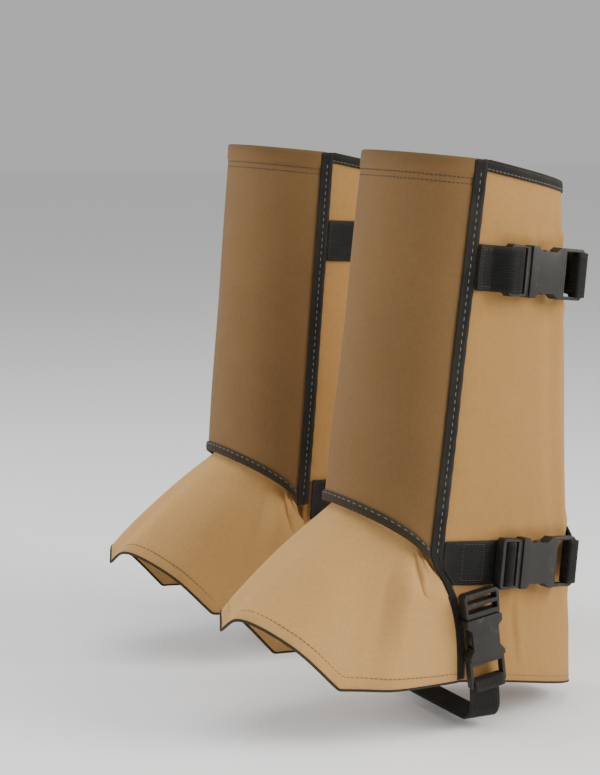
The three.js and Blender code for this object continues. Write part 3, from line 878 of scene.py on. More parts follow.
@dataclass(frozen=True)
class Tape(Finish):
    """Ribbed tape or webbing: dark woven ribs with dusty edges, a dull shine and painted highlight on the
    rib crests.
    """

    ribs_per_mm: float = 0.6
    slant: float = 3.0
    depth: float = 0.0004
    dust: Triple = (0.09, 0.075, 0.05)
    groups: dict = field(default_factory=dict, compare=False, hash=False)

    def build(self) -> Material:
        """The tape's material."""
        material, w, shader = self.start()
        _, u, v = self.flat_axes(w)
        ribs = w.group(
            self.groups["ribs"], Across=v, Along=u, Ribs=self.ribs_per_mm / UV_SCALE, Slant=self.slant
        )
        soil = w.group(self.groups["soil"], Edge=w.attribute("edge"), Reach=3.0)
        where = w.tree.nodes.new("ShaderNodeTexCoord").outputs["Object"]
        # Rib crests painted nearly twice as light as the grooves: painted highlight on the crests and
        # painted shade in the grooves.
        light = tuple(c * 1.9 + 0.001 for c in self.colour)
        base = w.mix(w.spread(ribs.outputs["Height"], 0.2, 1.0, 0.0, 1.0), self.shade(1), (*light, 1))
        base = w.mix(w.math("MULTIPLY", soil.outputs["Soiled"], 0.3), base, (*self.dust, 1))
        w.join(base, shader.inputs["Base Color"])
        rough = w.spread(w.noise(where, 60, 3), 0.3, 0.7, self.roughness - 0.1, self.roughness + 0.08)
        w.join(rough, shader.inputs["Roughness"])
        shader.inputs["Sheen Weight"].default_value = 0.02
        shader.inputs["Specular IOR Level"].default_value = 0.22
        slack = w.noise(where, 45, 4)
        self.raise_by(w, shader, [(slack, 0.001, 0.25), (ribs.outputs["Height"], self.depth, 0.8)])
        return material


@dataclass(frozen=True)
class Moulded(Finish):
    """Moulded plastic: a fine spark-eroded grain, faint flow marks, scuffs and dust in the grain."""

    scuff: Triple = (0.09, 0.083, 0.07)
    groups: dict = field(default_factory=dict, compare=False, hash=False)

    def build(self) -> Material:
        """The plastic's material."""
        material, w, shader = self.start()
        where = w.tree.nodes.new("ShaderNodeTexCoord").outputs["Object"]
        soil = w.group(self.groups["soil"], Edge=9.0, Reach=1.0)
        grain = w.noise(where, 1500, 2, 0.5)
        flow = w.noise(where, 90, 4, 0.6)
        base = w.mix(w.spread(flow, 0.35, 0.7, 0.0, 1.0), self.shade(1), self.shade(1.5))
        base = w.mix(w.math("MULTIPLY", soil.outputs["Rubbed"], 0.45), base, (*self.scuff, 1))
        base = w.mix(w.math("MULTIPLY", soil.outputs["Soiled"], 0.2), base, (0.1, 0.085, 0.06, 1))
        w.join(base, shader.inputs["Base Color"])
        rough = w.spread(flow, 0.3, 0.7, self.roughness - 0.08, self.roughness + 0.1)
        w.join(rough, shader.inputs["Roughness"])
        shader.inputs["Specular IOR Level"].default_value = 0.32
        self.raise_by(w, shader, [(flow, 0.0003, 0.2), (grain, 0.00008, 0.5)])
        return material


@dataclass(frozen=True)
class Thread(Finish):
    """Twisted sewing thread: a slanting sine along each stitch, with painted shade in its troughs between
    the plies.
    """

    def build(self) -> Material:
        """The thread's material."""
        material, w, shader = self.start()
        _, u, v = self.flat_axes(w)
        ply = w.math("SINE", w.math("ADD", w.math("MULTIPLY", u, 700.0), w.math("MULTIPLY", v, 900.0)))
        # The twist's troughs are painted darker: painted shade between the plies.
        twist = w.spread(ply, -1.0, 1.0, 0.0, 1.0)
        base = w.mix(twist, self.shade(0.55), self.shade(1))
        w.join(base, shader.inputs["Base Color"])
        shader.inputs["Sheen Weight"].default_value = 0.1
        self.raise_by(w, shader, [(twist, 0.0001, 0.5)])
        return material


@dataclass(frozen=True)
class Insert(Finish):
    """Frosted stiffening sheet: cloudy and slightly scratched."""

    def build(self) -> Material:
        """The sheet's material."""
        material, w, shader = self.start()
        where = w.tree.nodes.new("ShaderNodeTexCoord").outputs["Object"]
        haze = w.noise(where, 55, 5, 0.65)
        base = w.mix(w.spread(haze, 0.3, 0.75, 0.0, 0.5), self.shade(1), self.shade(0.7))
        w.join(base, shader.inputs["Base Color"])
        self.raise_by(w, shader, [(haze, 0.0004, 0.3)])
        return material


class Finishes:
    """Every material of the pair, built once."""

    def __init__(self) -> None:
        """Builds the shared node groups and then each material."""
        groups = {"weave": weave_group(), "ribs": rib_group(), "soil": soil_group()}
        narrow = {"ribs_per_mm": 1.1, "slant": 0.0, "depth": 0.00025, "groups": groups}
        # The shin's tan is the calf's tan painted darker: painted shade on the shin, which faces away from
        # the key light.
        self.shin = Cloth(
            "shin cloth with painted shade", (0.17, 0.094, 0.034), 0.86, shadow=(0.06, 0.033, 0.013), soil=0.55, groups=groups
        ).build()
        self.calf = Cloth(
            "calf cloth", (0.37, 0.2, 0.062), 0.86, shadow=(0.14, 0.07, 0.024), soil=0.4, groups=groups
        ).build()
        # The instep's tan is the calf's tan painted lighter: painted light on the instep's upward face.
        self.instep = Cloth(
            "instep cloth with painted light", (0.5, 0.29, 0.104), 0.84, shadow=(0.2, 0.11, 0.042), soil=0.35, groups=groups
        ).build()
        self.lining = Cloth(
            "lining cloth", (0.05, 0.042, 0.034), 0.9,
            shadow=(0.02, 0.017, 0.014), threads_per_mm=1.0, groups=groups,
        ).build()
        self.binding = Tape("binding tape", (0.0055, 0.0053, 0.0046), 0.82, **narrow).build()
        self.arch_binding = Tape("arch binding tape", (0.02, 0.0145, 0.0075), 0.82, **narrow).build()
        self.webbing = Tape(
            "webbing", (0.0042, 0.0042, 0.0039), 0.76,
            ribs_per_mm=0.55, slant=3.0, depth=0.0006, groups=groups,
        ).build()
        self.plastic = Moulded("buckle plastic", (0.012, 0.011, 0.0092), 0.46, groups=groups).build()
        # The latch arms' plastic is the buckle plastic painted half as light again: a painted highlight on
        # the arms.
        self.highlit_arm_plastic = Moulded("latch arm plastic with painted highlight", (0.018, 0.0165, 0.0138), 0.4, groups=groups).build()
        self.pale_thread = Thread("pale thread", (0.15, 0.14, 0.115), 0.75).build()
        self.dark_thread = Thread("dark thread", (0.05, 0.032, 0.016), 0.8).build()
        self.tan_thread = Thread("tan thread", (0.2, 0.115, 0.05), 0.8).build()
        self.insert = Insert("insert sheet", (0.62, 0.63, 0.64), 0.35).build()


# ---------------------------------------------------------------- putting pieces in the scene


@dataclass
class Workshop:
    """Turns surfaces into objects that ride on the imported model's bodies."""

    finishes: Finishes
    count: int = 0
    triangles: int = 0

    def add(
        self, leg: Leg, name: str, surface: Surface, material: Material, slot: str,
        body: str | None = ROOT_BODY, stands_for: tuple[str, ...] = (), sharp: float = 70.0,
    ) -> Piece:
        """Makes one piece.

        Args:
            leg: The gaiter that the piece belongs to.
            name: Name of the piece without its side.
            surface: Its shape in the leg's own axes.
            material: Its finish.
            slot: Material slot; not used.
            body: Body that it rides on, or None to leave it unattached.
            stands_for: CAD nodes that it replaces, without their side.
            sharp: Angle in degrees past which an edge stays sharp.

        Returns:
            The new object.
        """
        mesh = bpy.data.meshes.new(f"{leg.name}_{name}")
        points = leg.row(surface.points).astype(np.float32)
        faces = surface.faces[:, ::-1] if leg.side < 0 else surface.faces
        mesh.vertices.add(len(points))
        mesh.vertices.foreach_set("co", points.ravel())
        mesh.loops.add(faces.size)
        mesh.loops.foreach_set("vertex_index", faces.astype(np.int32).ravel())
        mesh.polygons.add(len(faces))
        mesh.polygons.foreach_set("loop_start", np.arange(0, faces.size, 4, dtype=np.int32))
        mesh.update(calc_edges=True)
        layer = mesh.uv_layers.new(name="flat")
        layer.data.foreach_set("uv", (surface.flat[faces.ravel()] * UV_SCALE).astype(np.float32).ravel())
        edge = mesh.attributes.new("edge", "FLOAT", "POINT")
        edge.data.foreach_set("value", surface.edge.astype(np.float32))
        mesh.polygons.foreach_set("use_smooth", np.ones(len(faces), bool))
        mesh.validate()
        mesh.set_sharp_from_angle(angle=math.radians(sharp))
        return self.place(leg, name, mesh, material, slot, body, stands_for)

    def place(
        self, leg: Leg, name: str, mesh: bpy.types.Mesh, material: Material, slot: str,
        body: str | None, stands_for: tuple[str, ...],
    ) -> Piece:
        """Links a finished mesh, gives it its finish and hangs it on its body."""
        piece = bpy.data.objects.new(f"{leg.name}_{name}", mesh)
        bpy.context.scene.collection.objects.link(piece)
        mesh.materials.clear()
        mesh.materials.append(material)
        if stands_for:
            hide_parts(*(f"{leg.name}_{node}" for node in stands_for))
        if body is not None:
            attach(piece, body)
        self.count += 1
        self.triangles += 2 * len(mesh.polygons)
        log.info("%s: %d faces", piece.name, len(mesh.polygons))
        return piece

    def rounded(self, leg: Leg, node: str, radius: float, material: Material, body: str) -> None:
        """A moulded copy of a CAD node: its faces merged and every sharp edge rounded.

        Args:
            leg: The gaiter.
            node: CAD node without its side.
            radius: Radius of the rounded edges in millimetres.
            material: The finish.
            body: Body that it rides on.
        """
        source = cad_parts[f"{leg.name}_{node}"]
        shape = bmesh.new()
        shape.from_mesh(source.data)
        bmesh.ops.remove_doubles(shape, verts=shape.verts, dist=MERGE_DISTANCE)
        bmesh.ops.dissolve_limit(shape, angle_limit=FLAT_ANGLE, verts=shape.verts, edges=shape.edges)
        bmesh.ops.recalc_face_normals(shape, faces=shape.faces)
        hard = [e for e in shape.edges if len(e.link_faces) == 2 and e.calc_face_angle(0) > ROUNDED_ANGLE]
        bmesh.ops.bevel(
            shape, geom=hard, offset=radius * MM, segments=3, profile=0.5, affect="EDGES",
            clamp_overlap=True, loop_slide=True,
        )
        bmesh.ops.triangulate(shape, faces=[f for f in shape.faces if len(f.verts) > 4])
        mesh = bpy.data.meshes.new(f"{leg.name}_{node}_moulding")
        shape.to_mesh(mesh)
        shape.free()
        mesh.polygons.foreach_set("use_smooth", np.ones(len(mesh.polygons), bool))
        mesh.set_sharp_from_angle(angle=SHARP_ANGLE)
        self.place(leg, f"{node}_moulding", mesh, material, "buckle_plastic", body, (node,))

    def buckle(self, leg: Leg, name: str, socket: str, ladder: str) -> None:
        """Moulds a buckle's socket, ladder and two latch arms.

        Args:
            leg: The gaiter.
            name: Name of the buckle in the CAD nodes.
            socket: Body of the socket.
            ladder: Body of the ladder.
        """
        paint = self.finishes
        for part, body in (("socket", socket), ("ladder", ladder)):
            self.rounded(leg, f"{name}_buckle_{part}", SHELL_EDGE, paint.plastic, body)
        for arm in "ab":
            body = f"{leg.name}_{name}_arm_{arm}"
            # The arms take the lighter plastic with its painted highlight.
            self.rounded(leg, f"{name}_latch_arm_{arm}", ARM_EDGE, paint.highlit_arm_plastic, body)


# ---------------------------------------------------------------- sub-assemblies


def lattice(turns: np.ndarray, low: Callable, high: Callable, rows: int) -> tuple[np.ndarray, np.ndarray]:
    """Turns and heights of a grid between two edge lines.

    Args:
        turns: Degrees round the leg.
        low: Height of the lower edge at a turn.
        high: Height of the upper edge at a turn.
        rows: Steps up the leg.

    Returns:
        Two arrays, turns by rows + 1.
    """
    share = np.linspace(0, 1, rows + 1)[None]
    bottom, top = low(turns)[:, None], high(turns)[:, None]
    return np.repeat(turns[:, None], rows + 1, 1), bottom + (top - bottom) * share


@dataclass
class ShinGuard:
    """Shin cover with its rim hem, the stiffening sheet and the lining behind it."""

    leg: Leg
    shop: Workshop
    cover: float = 1.4
    stiffener: float = 1.5
    lining: float = 1.0
    gap: float = 0.3
    hem: float = 12
    hem_rise: float = 0.75
    seam_rows: tuple[float, float] = (13.4, 17.6)
    margin: float = 6
    lining_rise: float = 3

    def build(self) -> None:
        """Builds every piece of the shin guard."""
        leg, paint = self.leg, self.shop.finishes
        turns = np.linspace(-89.7, 89.7, 121)
        t, z = lattice(turns, leg.shin_foot, leg.shin_rim, 120)
        grid = leg.cloth(t, z)
        raised = self.hem_rise * smooth((z - (leg.shin_rim(t) - self.hem) + 0.6) / 1.2)
        drop = leg.shin_rim(t) - z
        groove = -0.3 * bump(drop, self.seam_rows[0], 1.2) - 0.2 * bump(drop, self.seam_rows[1], 1.0)
        cover = self.shop.add(
            leg, "shin_cover_cloth", wall(grid, -self.cover, raised + groove), paint.shin, "shin_cloth",
            stands_for=("shin_cover",),
        )
        rows = []
        sewn = turns[3:-3]
        for drop in self.seam_rows:
            line = leg.shin_rim(sewn) - drop
            rows.append(stitching(leg.cloth(sewn, line, -0.1), leg.outward(sewn, line), RIM_STITCH))
        sewing = self.shop.add(leg, "rim_hem_stitching", Surface.join(rows), paint.dark_thread, "shin_cloth")
        low = -self.cover - self.gap - self.stiffener
        foot = lambda d: leg.shin_foot(d) + self.margin
        t, z = lattice(turns * 0.94, foot, lambda d: leg.shin_rim(d) - 2 * self.margin, 60)
        sheet = wall(leg.cloth(t, z), low, low + self.stiffener)
        self.shop.add(
            leg, "shin_insert", sheet, paint.insert, "insert_sheet", stands_for=("shin_stiffener",)
        )
        low -= self.gap + self.lining
        foot = lambda d: leg.shin_foot(d) + self.lining_rise
        t, z = lattice(turns, foot, lambda d: leg.shin_rim(d) - 1, 80)
        grid = leg.cloth(t, z)
        lining = self.shop.add(
            leg, "shin_lining_cloth", wall(grid, low, low + self.lining), paint.lining, "lining_cloth",
            stands_for=("shin_lining",),
        )
        grid + grid_normals(grid) * low


@dataclass
class CalfWrap:
    """The two calf panels, which lap at the rear, with bound rims and piped hems."""

    leg: Leg
    shop: Workshop
    cover: float = 1.4
    outer_end: float = 217.5
    inner_start: float = 195
    tuck: float = 0.8
    tuck_run: float = 22.5
    gap: float = 0.3
    binding: float = 1.1
    binding_width: float = 6.5

    def tucked(self, turn: np.ndarray) -> np.ndarray:
        """Depth of the inner panel, which drops under the outer one where they lap."""
        return -(self.cover + self.tuck) * (1 - smooth((turn - self.outer_end) / self.tuck_run))

    def build(self) -> None:
        """Builds both panels."""
        outer = np.linspace(90.3, self.outer_end, 150)
        inner = np.linspace(self.inner_start, 269.7, 100)
        start = self.leg.turn_from_seam(TAPE.width / 2 - 0.5, np.array(self.leg.rim_seam))
        self.panel("outer", outer, np.linspace(start, self.outer_end, 120), lambda d: 0 * d)
        inner_top = np.linspace(self.outer_end + self.tuck_run / 3, 360 - start, 70)
        self.panel("inner", inner, inner_top, self.tucked)

    def panel(self, name: str, turns: np.ndarray, rim_turns: np.ndarray, depth: Callable) -> None:
        """Builds one panel with its binding, piping and stitching.

        Args:
            name: outer or inner.
            turns: Degrees that the panel covers.
            rim_turns: Degrees that its rim binding covers.
            depth: Distance of the panel off the leg's skin at a turn.
        """
        leg, paint = self.leg, self.shop.finishes
        t, z = lattice(turns, leg.calf_hem, leg.calf_rim, 170)
        grid = leg.cloth(t, z, depth(t))
        cloth = self.shop.add(
            leg, f"{name}_calf_cloth", wall(grid, -self.cover, 0), paint.calf, "calf_cloth",
            stands_for=(f"{name}_calf_panel",),
        )
        t, z = lattice(rim_turns, lambda d: leg.calf_rim(d) - self.binding_width, leg.calf_rim, 6)
        strip = wall(leg.cloth(t, z, depth(t)), self.gap, self.gap + self.binding)
        over = leg.calf_rim(rim_turns)
        lip = cord_of(
            leg.cloth(rim_turns, over + 0.5, depth(rim_turns) - 0.2), leg.outward(rim_turns, over), 1.3,
        )
        bound = self.shop.add(
            leg, f"{name}_calf_rim_tape", Surface.join([strip, lip]), paint.binding, "binding_tape",
            stands_for=(f"{name}_calf_binding",),
        )
        low = leg.calf_hem(turns)
        piping = self.shop.add(
            leg, f"{name}_calf_hem_piping",
            cord_of(leg.cloth(turns, low, depth(turns) - 0.6), leg.outward(turns, low), 1.0),
            paint.arch_binding, "binding_tape",
        )
        near_hem = low + 5
        hem_path = leg.cloth(turns, near_hem, depth(turns))
        hem_row = stitching(hem_path, leg.outward(turns, near_hem), CLOTH_STITCH)
        inside = over - self.binding_width + 1.3
        on_tape = leg.cloth(rim_turns, inside, depth(rim_turns) + self.gap + self.binding)
        rim_row = stitching(on_tape, leg.outward(rim_turns, over), BINDING_STITCH)
        add = self.shop.add
        hem_sewing = add(leg, f"{name}_calf_hem_stitching", hem_row, paint.tan_thread, "calf_cloth")
        rim_sewing = add(leg, f"{name}_calf_rim_stitching", rim_row, paint.pale_thread, "binding_tape")
        if name == "outer":
            end = turns[-1] - 3
            heights = np.linspace(leg.calf_hem(np.array(end)) + 4, leg.calf_rim(np.array(end)) - 8, 200)
            line = np.full_like(heights, end)
            row = stitching(leg.cloth(line, heights), leg.outward(line, heights), CLOTH_STITCH)
            add(leg, "rear_closure_stitching", row, paint.tan_thread, "calf_cloth")


@dataclass
class Instep:
    """Hinged instep cover with its stiffening sheet and piped edge."""

    leg: Leg
    shop: Workshop
    cover: float = 1.4
    stiffener: float = 1.5
    lining: float = 1.0
    gap: float = 0.3
    lap: float = 10
    drop: float = 6
    clearance: float = 0.8
    bulge: float = 4
    throat_drop: float = 3
    throat_depth: float = 6.5
    side_clearance: float = 1.2
    corner: float = 52.5
    sheet_gap: float = 0.7

    def hem(self, turns: np.ndarray) -> np.ndarray:
        """Lower edge: one smooth curve from the toe to the corner and one back along the sole."""
        side = self.leg.half_width + self.side_clearance
        toe = np.array([[0, -148, 85], [14, -141, 95], [43, -114, 80], [53, -80, 46]], float)
        sole = np.array([[53, -80, 46], [side - 1, -35, 42], [side, self.leg.flap_rear_foot[0], 42]], float)
        turn = np.abs(turns)
        points = np.where(
            (turn < self.corner)[:, None],
            through(toe, turn / self.corner),
            through(sole, (turn - self.corner) / (90 - self.corner)),
        )
        points[:, 0] *= np.sign(turns)
        return points

    def surface(self, turns: np.ndarray, shares: np.ndarray) -> np.ndarray:
        """Inner face of the cover: straight from throat to hem, bulged by a half sine.

        Args:
            turns: Degrees round the front of the leg.
            shares: -1 at the edge tucked behind the shin, 0 at the throat and 1 at the hem.

        Returns:
            Points, turns by shares by 3.
        """
        leg = self.leg
        turn = np.abs(turns)
        tucked = -(2 * self.cover + self.stiffener + self.lining + 2 * self.gap + self.clearance)
        lap = self.lap - (self.lap + self.drop) * smooth((turn - 60) / 30)
        out = smooth((turn - 77) / 8)
        top = leg.skin(turns, leg.shin_foot(turns) + lap, tucked + (self.side_clearance - tucked) * out)
        flare = smooth((turn - 74) / 8.5)
        depth = -self.throat_depth + (self.side_clearance + self.throat_depth) * flare
        throat = leg.skin(turns, leg.shin_foot(turns) - (self.throat_drop + 2 * self.drop * flare), depth)
        hem = self.hem(turns)
        s = shares[None, :]
        below = np.maximum(s, 0)[..., None]
        above = np.maximum(-s, 0)[..., None]
        points = throat[:, None] * (1 - below) + hem[:, None] * below
        points = points * (1 - above) + top[:, None] * above
        bulge = self.bulge * np.sin(math.pi * np.maximum(s, 0)) * np.cos(np.radians(turns))[:, None]
        start = 84 - 8 * smooth(3 * s)
        back = smooth((turn[:, None] - start) / (90 - start))
        points[..., 1] += (leg.flap_rear(points[..., 2]) - points[..., 1]) * back - bulge * 0.7
        side = (np.sign(turns) * (leg.half_width + self.side_clearance))[:, None]
        spread = np.maximum(flare[:, None], smooth((turn[:, None] - 60) / 12) * smooth(3 * s)) * (s >= 0)
        points[..., 0] += (side - points[..., 0]) * spread
        points[..., 2] += bulge * 0.7
        return points

    def creases(self, turns: np.ndarray, shares: np.ndarray) -> np.ndarray:
        """Slow folds of the cover: sines along and across that fade at its edges."""
        t, s = np.meshgrid(turns, np.maximum(shares, 0), indexing="ij")
        fade = smooth(s / 0.15) * smooth((1 - s) / 0.12) * smooth((90 - np.abs(t)) / 12)
        wave = 0.5 * np.sin(t / 11 + 5 * s + self.leg.fold_phase) + 0.35 * np.sin(t / 6 - 8 * s)
        pull = -0.8 * bump(np.abs(t), 34, 9) * bump(s, 0.78, 0.2) + 1.1 * bump(t, 0, 9) * s
        return fade * (wave * 0.6 + pull)

    def build(self) -> None:
        """Builds the cover, its sheet, piping and stitching."""
        leg, paint, body = self.leg, self.shop.finishes, f"{self.leg.name}_instep"
        turns = np.linspace(-90, 90, 181)
        shares = np.concatenate([np.linspace(1, 0, 61), [-0.35, -0.7, -1.0]])
        grid = self.surface(turns, shares)
        grid = grid + grid_normals(grid) * self.creases(turns, shares)[..., None]
        cover = self.shop.add(
            leg, "instep_cover_cloth", wall(grid, 0, self.cover), paint.instep, "instep_cloth", body,
            ("instep_cover",),
        )
        normals = grid_normals(grid)
        across = normals[:, 0]
        down = unit(grid[:, 0] - grid[:, 1])
        piping = self.shop.add(
            leg, "instep_hem_piping", cord_of(grid[:, 0] + across * 0.7 + down * 0.4, across, 1.15),
            paint.arch_binding, "binding_tape", body,
        )
        rear = []
        for side, line in ((0, grid[0]), (-1, grid[-1])):
            outwards = unit(grid[side, :60] - grid[side + 1 if side == 0 else side - 1, :60])
            off = normals[side, :60]
            rear.append(cord_of(line[:60] + off * 0.7 + outwards * 0.3, off, 1.1))
        edging = self.shop.add(
            leg, "instep_rear_piping", Surface.join(rear), paint.binding, "binding_tape", body
        )
        inside = 0.075
        row = self.surface(turns, np.array([1.0, 1 - inside, 1 - 2 * inside]))
        line = row[:, 1] + grid_normals(row)[:, 1] * self.cover * 0.98
        sewing = self.shop.add(
            leg, "instep_hem_stitching", stitching(line[2:-2], normals[2:-2, 0], FLAP_STITCH),
            paint.tan_thread, "instep_cloth", body,
        )
        turns = np.linspace(-60, 60, 61)
        sheet = self.surface(turns, np.concatenate([np.linspace(0.88, 0, 40), [-1.0]]))
        self.shop.add(
            leg, "instep_insert", wall(sheet, -self.sheet_gap - self.lining, -self.sheet_gap),
            paint.insert, "insert_sheet", body, ("instep_stiffener",),
        )


@dataclass
class Seams:
    """Side seam bindings with a dashed middle row, and the arched binding above the instep."""

    leg: Leg
    shop: Workshop
    gap: float = 0.3
    thickness: float = 1.1
    arch_width: float = 7

    def build(self) -> None:
        """Builds the three bindings."""
        leg, paint = self.leg, self.shop.finishes
        half = TAPE.width / 2
        upper = np.linspace(leg.rim_seam, leg.shin_foot_seam + TAPE.bend_rise, 150)
        lower = np.linspace(leg.shin_foot_seam + TAPE.lower_rise, leg.hem_at_seam, 60)
        edges = []
        for share, across in ((0, -half), (1, half)):
            y = leg.flap_rear(lower) + TAPE.rear_gap + share * TAPE.rear_width
            low = leg.cloth(leg.turn_at_y(y, lower), lower)
            edges.append(np.vstack([leg.cloth(leg.turn_from_seam(across, upper), upper), low]))
        crown = self.crowned(edges[0], edges[1])
        middle = (edges[0] + edges[1]) / 2
        rise = grid_normals(np.stack(edges, 1))[:, 0]
        add, tape = self.shop.add, (paint.binding, "binding_tape")
        add(leg, "outer_seam_tape", crown, *tape, stands_for=("outer_seam_binding",))
        self.sewn("outer", middle[4:150] + rise[4:150] * (self.gap + self.thickness + 0.25), rise[4:150])
        heights = np.linspace(leg.rim_seam, leg.shin_foot_seam + TAPE.foot_trim, 140)
        edges = [leg.cloth(360 - leg.turn_from_seam(across, heights), heights) for across in (half, -half)]
        rise = grid_normals(np.stack(edges, 1))[:, 0]
        crown = self.crowned(edges[0], edges[1])
        add(leg, "inner_seam_tape", crown, *tape, stands_for=("inner_seam_binding",))
        middle = (edges[0] + edges[1]) / 2
        self.sewn("inner", middle[4:-3] + rise[4:-3] * (self.gap + self.thickness + 0.25), rise[4:-3])
        reach = float(leg.turn_from_seam(-half - TAPE.strap_gap, np.array(leg.shin_foot_seam)))
        turns = np.linspace(-reach, reach, 161)
        t, z = lattice(turns, leg.shin_foot, lambda d: leg.shin_foot(d) + self.arch_width, 10)
        ruffle = 0.22 * np.sin(t * 1.9 + 2 * np.sin(t / 9)) * (0.4 + 0.6 * bump(t, 0, 60))
        roll = 0.5 * (1 - ((z - leg.shin_foot(t)) / self.arch_width * 2 - 1) ** 2)
        face = self.gap + self.thickness + roll * 0.8 + ruffle
        add(
            leg, "instep_seam_tape", wall(leg.cloth(t, z), self.gap, face), paint.arch_binding,
            "binding_tape", stands_for=("instep_seam_binding",),
        )
        line = leg.shin_foot(turns) + self.arch_width - 1.4
        path = leg.cloth(turns, line, self.gap + self.thickness + 0.15)
        self.sewn("instep", path, leg.outward(turns, line))

    def crowned(self, left: np.ndarray, right: np.ndarray) -> Surface:
        """Tape between two edge lines that is thickest along its middle: a parabola across."""
        share = np.linspace(0, 1, 9)
        grid = left[:, None] * (1 - share)[None, :, None] + right[:, None] * share[None, :, None]
        crown = 0.45 * (1 - (2 * share - 1) ** 4)[None, :] - 0.3 * bump(share, 0.5, 0.1)[None, :]
        return wall(grid, self.gap, self.gap + self.thickness + crown)

    def sewn(self, name: str, path: np.ndarray, normals: np.ndarray) -> None:
        """One dashed row of pale stitches."""
        self.shop.add(
            self.leg, f"{name}_seam_stitching", stitching(path, normals, SEAM_STITCH),
            self.shop.finishes.pale_thread, "binding_tape",
        )


@dataclass
class CalfStrap:
    """One strap round the calf: fixed front webbing, buckle and adjustable rear webbing."""

    leg: Leg
    shop: Workshop
    name: str
    level: Level
    threading: Threading
    rear_slack: float = 1.6
    tack_inset: float = 2.8

    def axes(self) -> tuple[np.ndarray, np.ndarray]:
        """Axes and mouth centre of this strap's buckle."""
        return BUCKLE.axes(self.leg, self.level, Direction.BACK, STRAP.droop, 0.5)

    def build(self) -> None:
        """Builds the webbing and the buckle."""
        leg, shop, name = self.leg, self.shop, self.name
        paint = shop.finishes
        axes, mouth = self.axes()
        half, t = STRAP.width / 2, STRAP.thickness
        mouth_turn = float(leg.turn_at_y(np.array(self.level.y), np.array(self.level.height)))
        turns = np.linspace(leg.strap_end(self.level.height), mouth_turn, 60)
        middle = STRAP.middle(self.level, leg.section(turns, self.level.height)[:, 1])
        columns = []
        for e in np.linspace(-1, 1, 9):
            low = float(leg.strap_end(float(middle[0]) + (e + 1) * half))
            across = low + (turns - turns[0]) * (mouth_turn - low) / (mouth_turn - turns[0])
            columns.append(leg.skin(across, middle + e * half))
        base = wall(np.stack(columns, 1), STRAP.gap, STRAP.gap + t)
        front = [base, self.threaded(axes, mouth)]
        shop.add(
            leg, f"{name}_front_webbing", Surface.join(front), paint.webbing, "webbing",
            stands_for=(f"{name}_strap_front",),
        )
        double = self.threading is Threading.OVER
        lift = STRAP.gap + t + (t + 0.3 if double else 0)
        at, z = turns[3:24], middle[3:24]
        inset = half - self.tack_inset
        tack = [
            stitching(leg.skin(at, z + shift, lift), leg.outward(at, z), WEBBING_STITCH)
            for shift in (-inset, inset)
        ]
        for end in (at[0], at[-1]):
            up = np.linspace(-inset, inset, 30)
            across, height = np.full(30, end), float(np.interp(end, turns, middle)) + up
            path = leg.skin(across, height, lift)
            tack.append(stitching(path, leg.outward(across, height), WEBBING_STITCH))
        shop.add(leg, f"{name}_webbing_tack", Surface.join(tack), paint.dark_thread, "webbing")
        self.rear(axes, mouth)
        shop.buckle(leg, name, f"{leg.name}_{name}_socket", ROOT_BODY)

    def threaded(self, axes: np.ndarray, mouth: np.ndarray) -> Surface:
        """The strap's end at the ladder: over its rung and down through its rear slot.

        Args:
            axes: Axes along, across and off the buckle.
            mouth: Centre of the buckle's mouth.

        Returns:
            The looped webbing, and in front of it the doubled layer where there is one.
        """
        leg, t, half = self.leg, STRAP.thickness, STRAP.width / 2 - 0.3
        lines = []
        for e in (-1, 1):
            if self.threading is Threading.OVER:
                low = leg.strap_end(self.level.height) + 0.1
                reach = np.array(self.level.y - BUCKLE.ladder_length - 9)
                turns = np.linspace(low, float(leg.turn_at_y(reach, np.array(self.level.height))), 8)
                middle = STRAP.middle(self.level, leg.section(turns, self.level.height)[:, 1])
                front = leg.skin(turns, middle + e * half, STRAP.gap + 1.5 * t + 0.3)
                rise = np.array(LOOP_FROM_FRONT)
            else:
                front = np.empty((0, 3))
                rise = np.array(LOOP_FROM_BELOW)
            across = math.copysign(half, e * axes[1, 2])
            local = np.stack([rise[:, 0], np.full(len(rise), across), rise[:, 1]], 1)
            lines.append(through(np.vstack([front, local @ axes + mouth]), np.linspace(0, 1, 120)))
        return band(lines[0], lines[1], -t / 2, t / 2)

    def rear(self, axes: np.ndarray, mouth: np.ndarray) -> None:
        """Rear webbing: over the loop's bar, back under it and round the calf to the inner seam."""
        leg, t, half = self.leg, STRAP.thickness, STRAP.width / 2
        ends = BUCKLE.loop_turn(axes, mouth, half)
        start = float((ends[0][-1, 2] + ends[1][-1, 2]) / 2)
        if ends[0][0, 2] > ends[1][0, 2]:
            ends.reverse()
        anchor = self.level.height + STRAP.anchor_rise
        stations = np.linspace(STRAP.leaves_calf, 360 - leg.strap_end(anchor), 60)
        rise = np.linspace(0, 1, 61)[1:]
        z = start + (anchor - start) * rise
        lines = []
        for e, end in zip((-1, 1), ends):
            off = STRAP.gap + t / 2 + self.rear_slack * bump(stations, 214, 12)
            round_calf = leg.skin(stations, z + e * half, off)
            lines.append(through(np.vstack([end, round_calf]), np.linspace(0, 1, 300)))
        surface = band(lines[0], lines[1], -t / 2, t / 2, 9)
        strap = self.shop.add(
            leg, f"{self.name}_rear_webbing", surface, self.shop.finishes.webbing, "webbing", None,
            (f"{self.name}_strap_rear",),
        )
        first = leg.row(leg.skin(np.array(215.0), np.array(z[-1])))
        last = leg.row(mouth + axes[0] * BUCKLE.socket_length)
        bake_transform(strap)


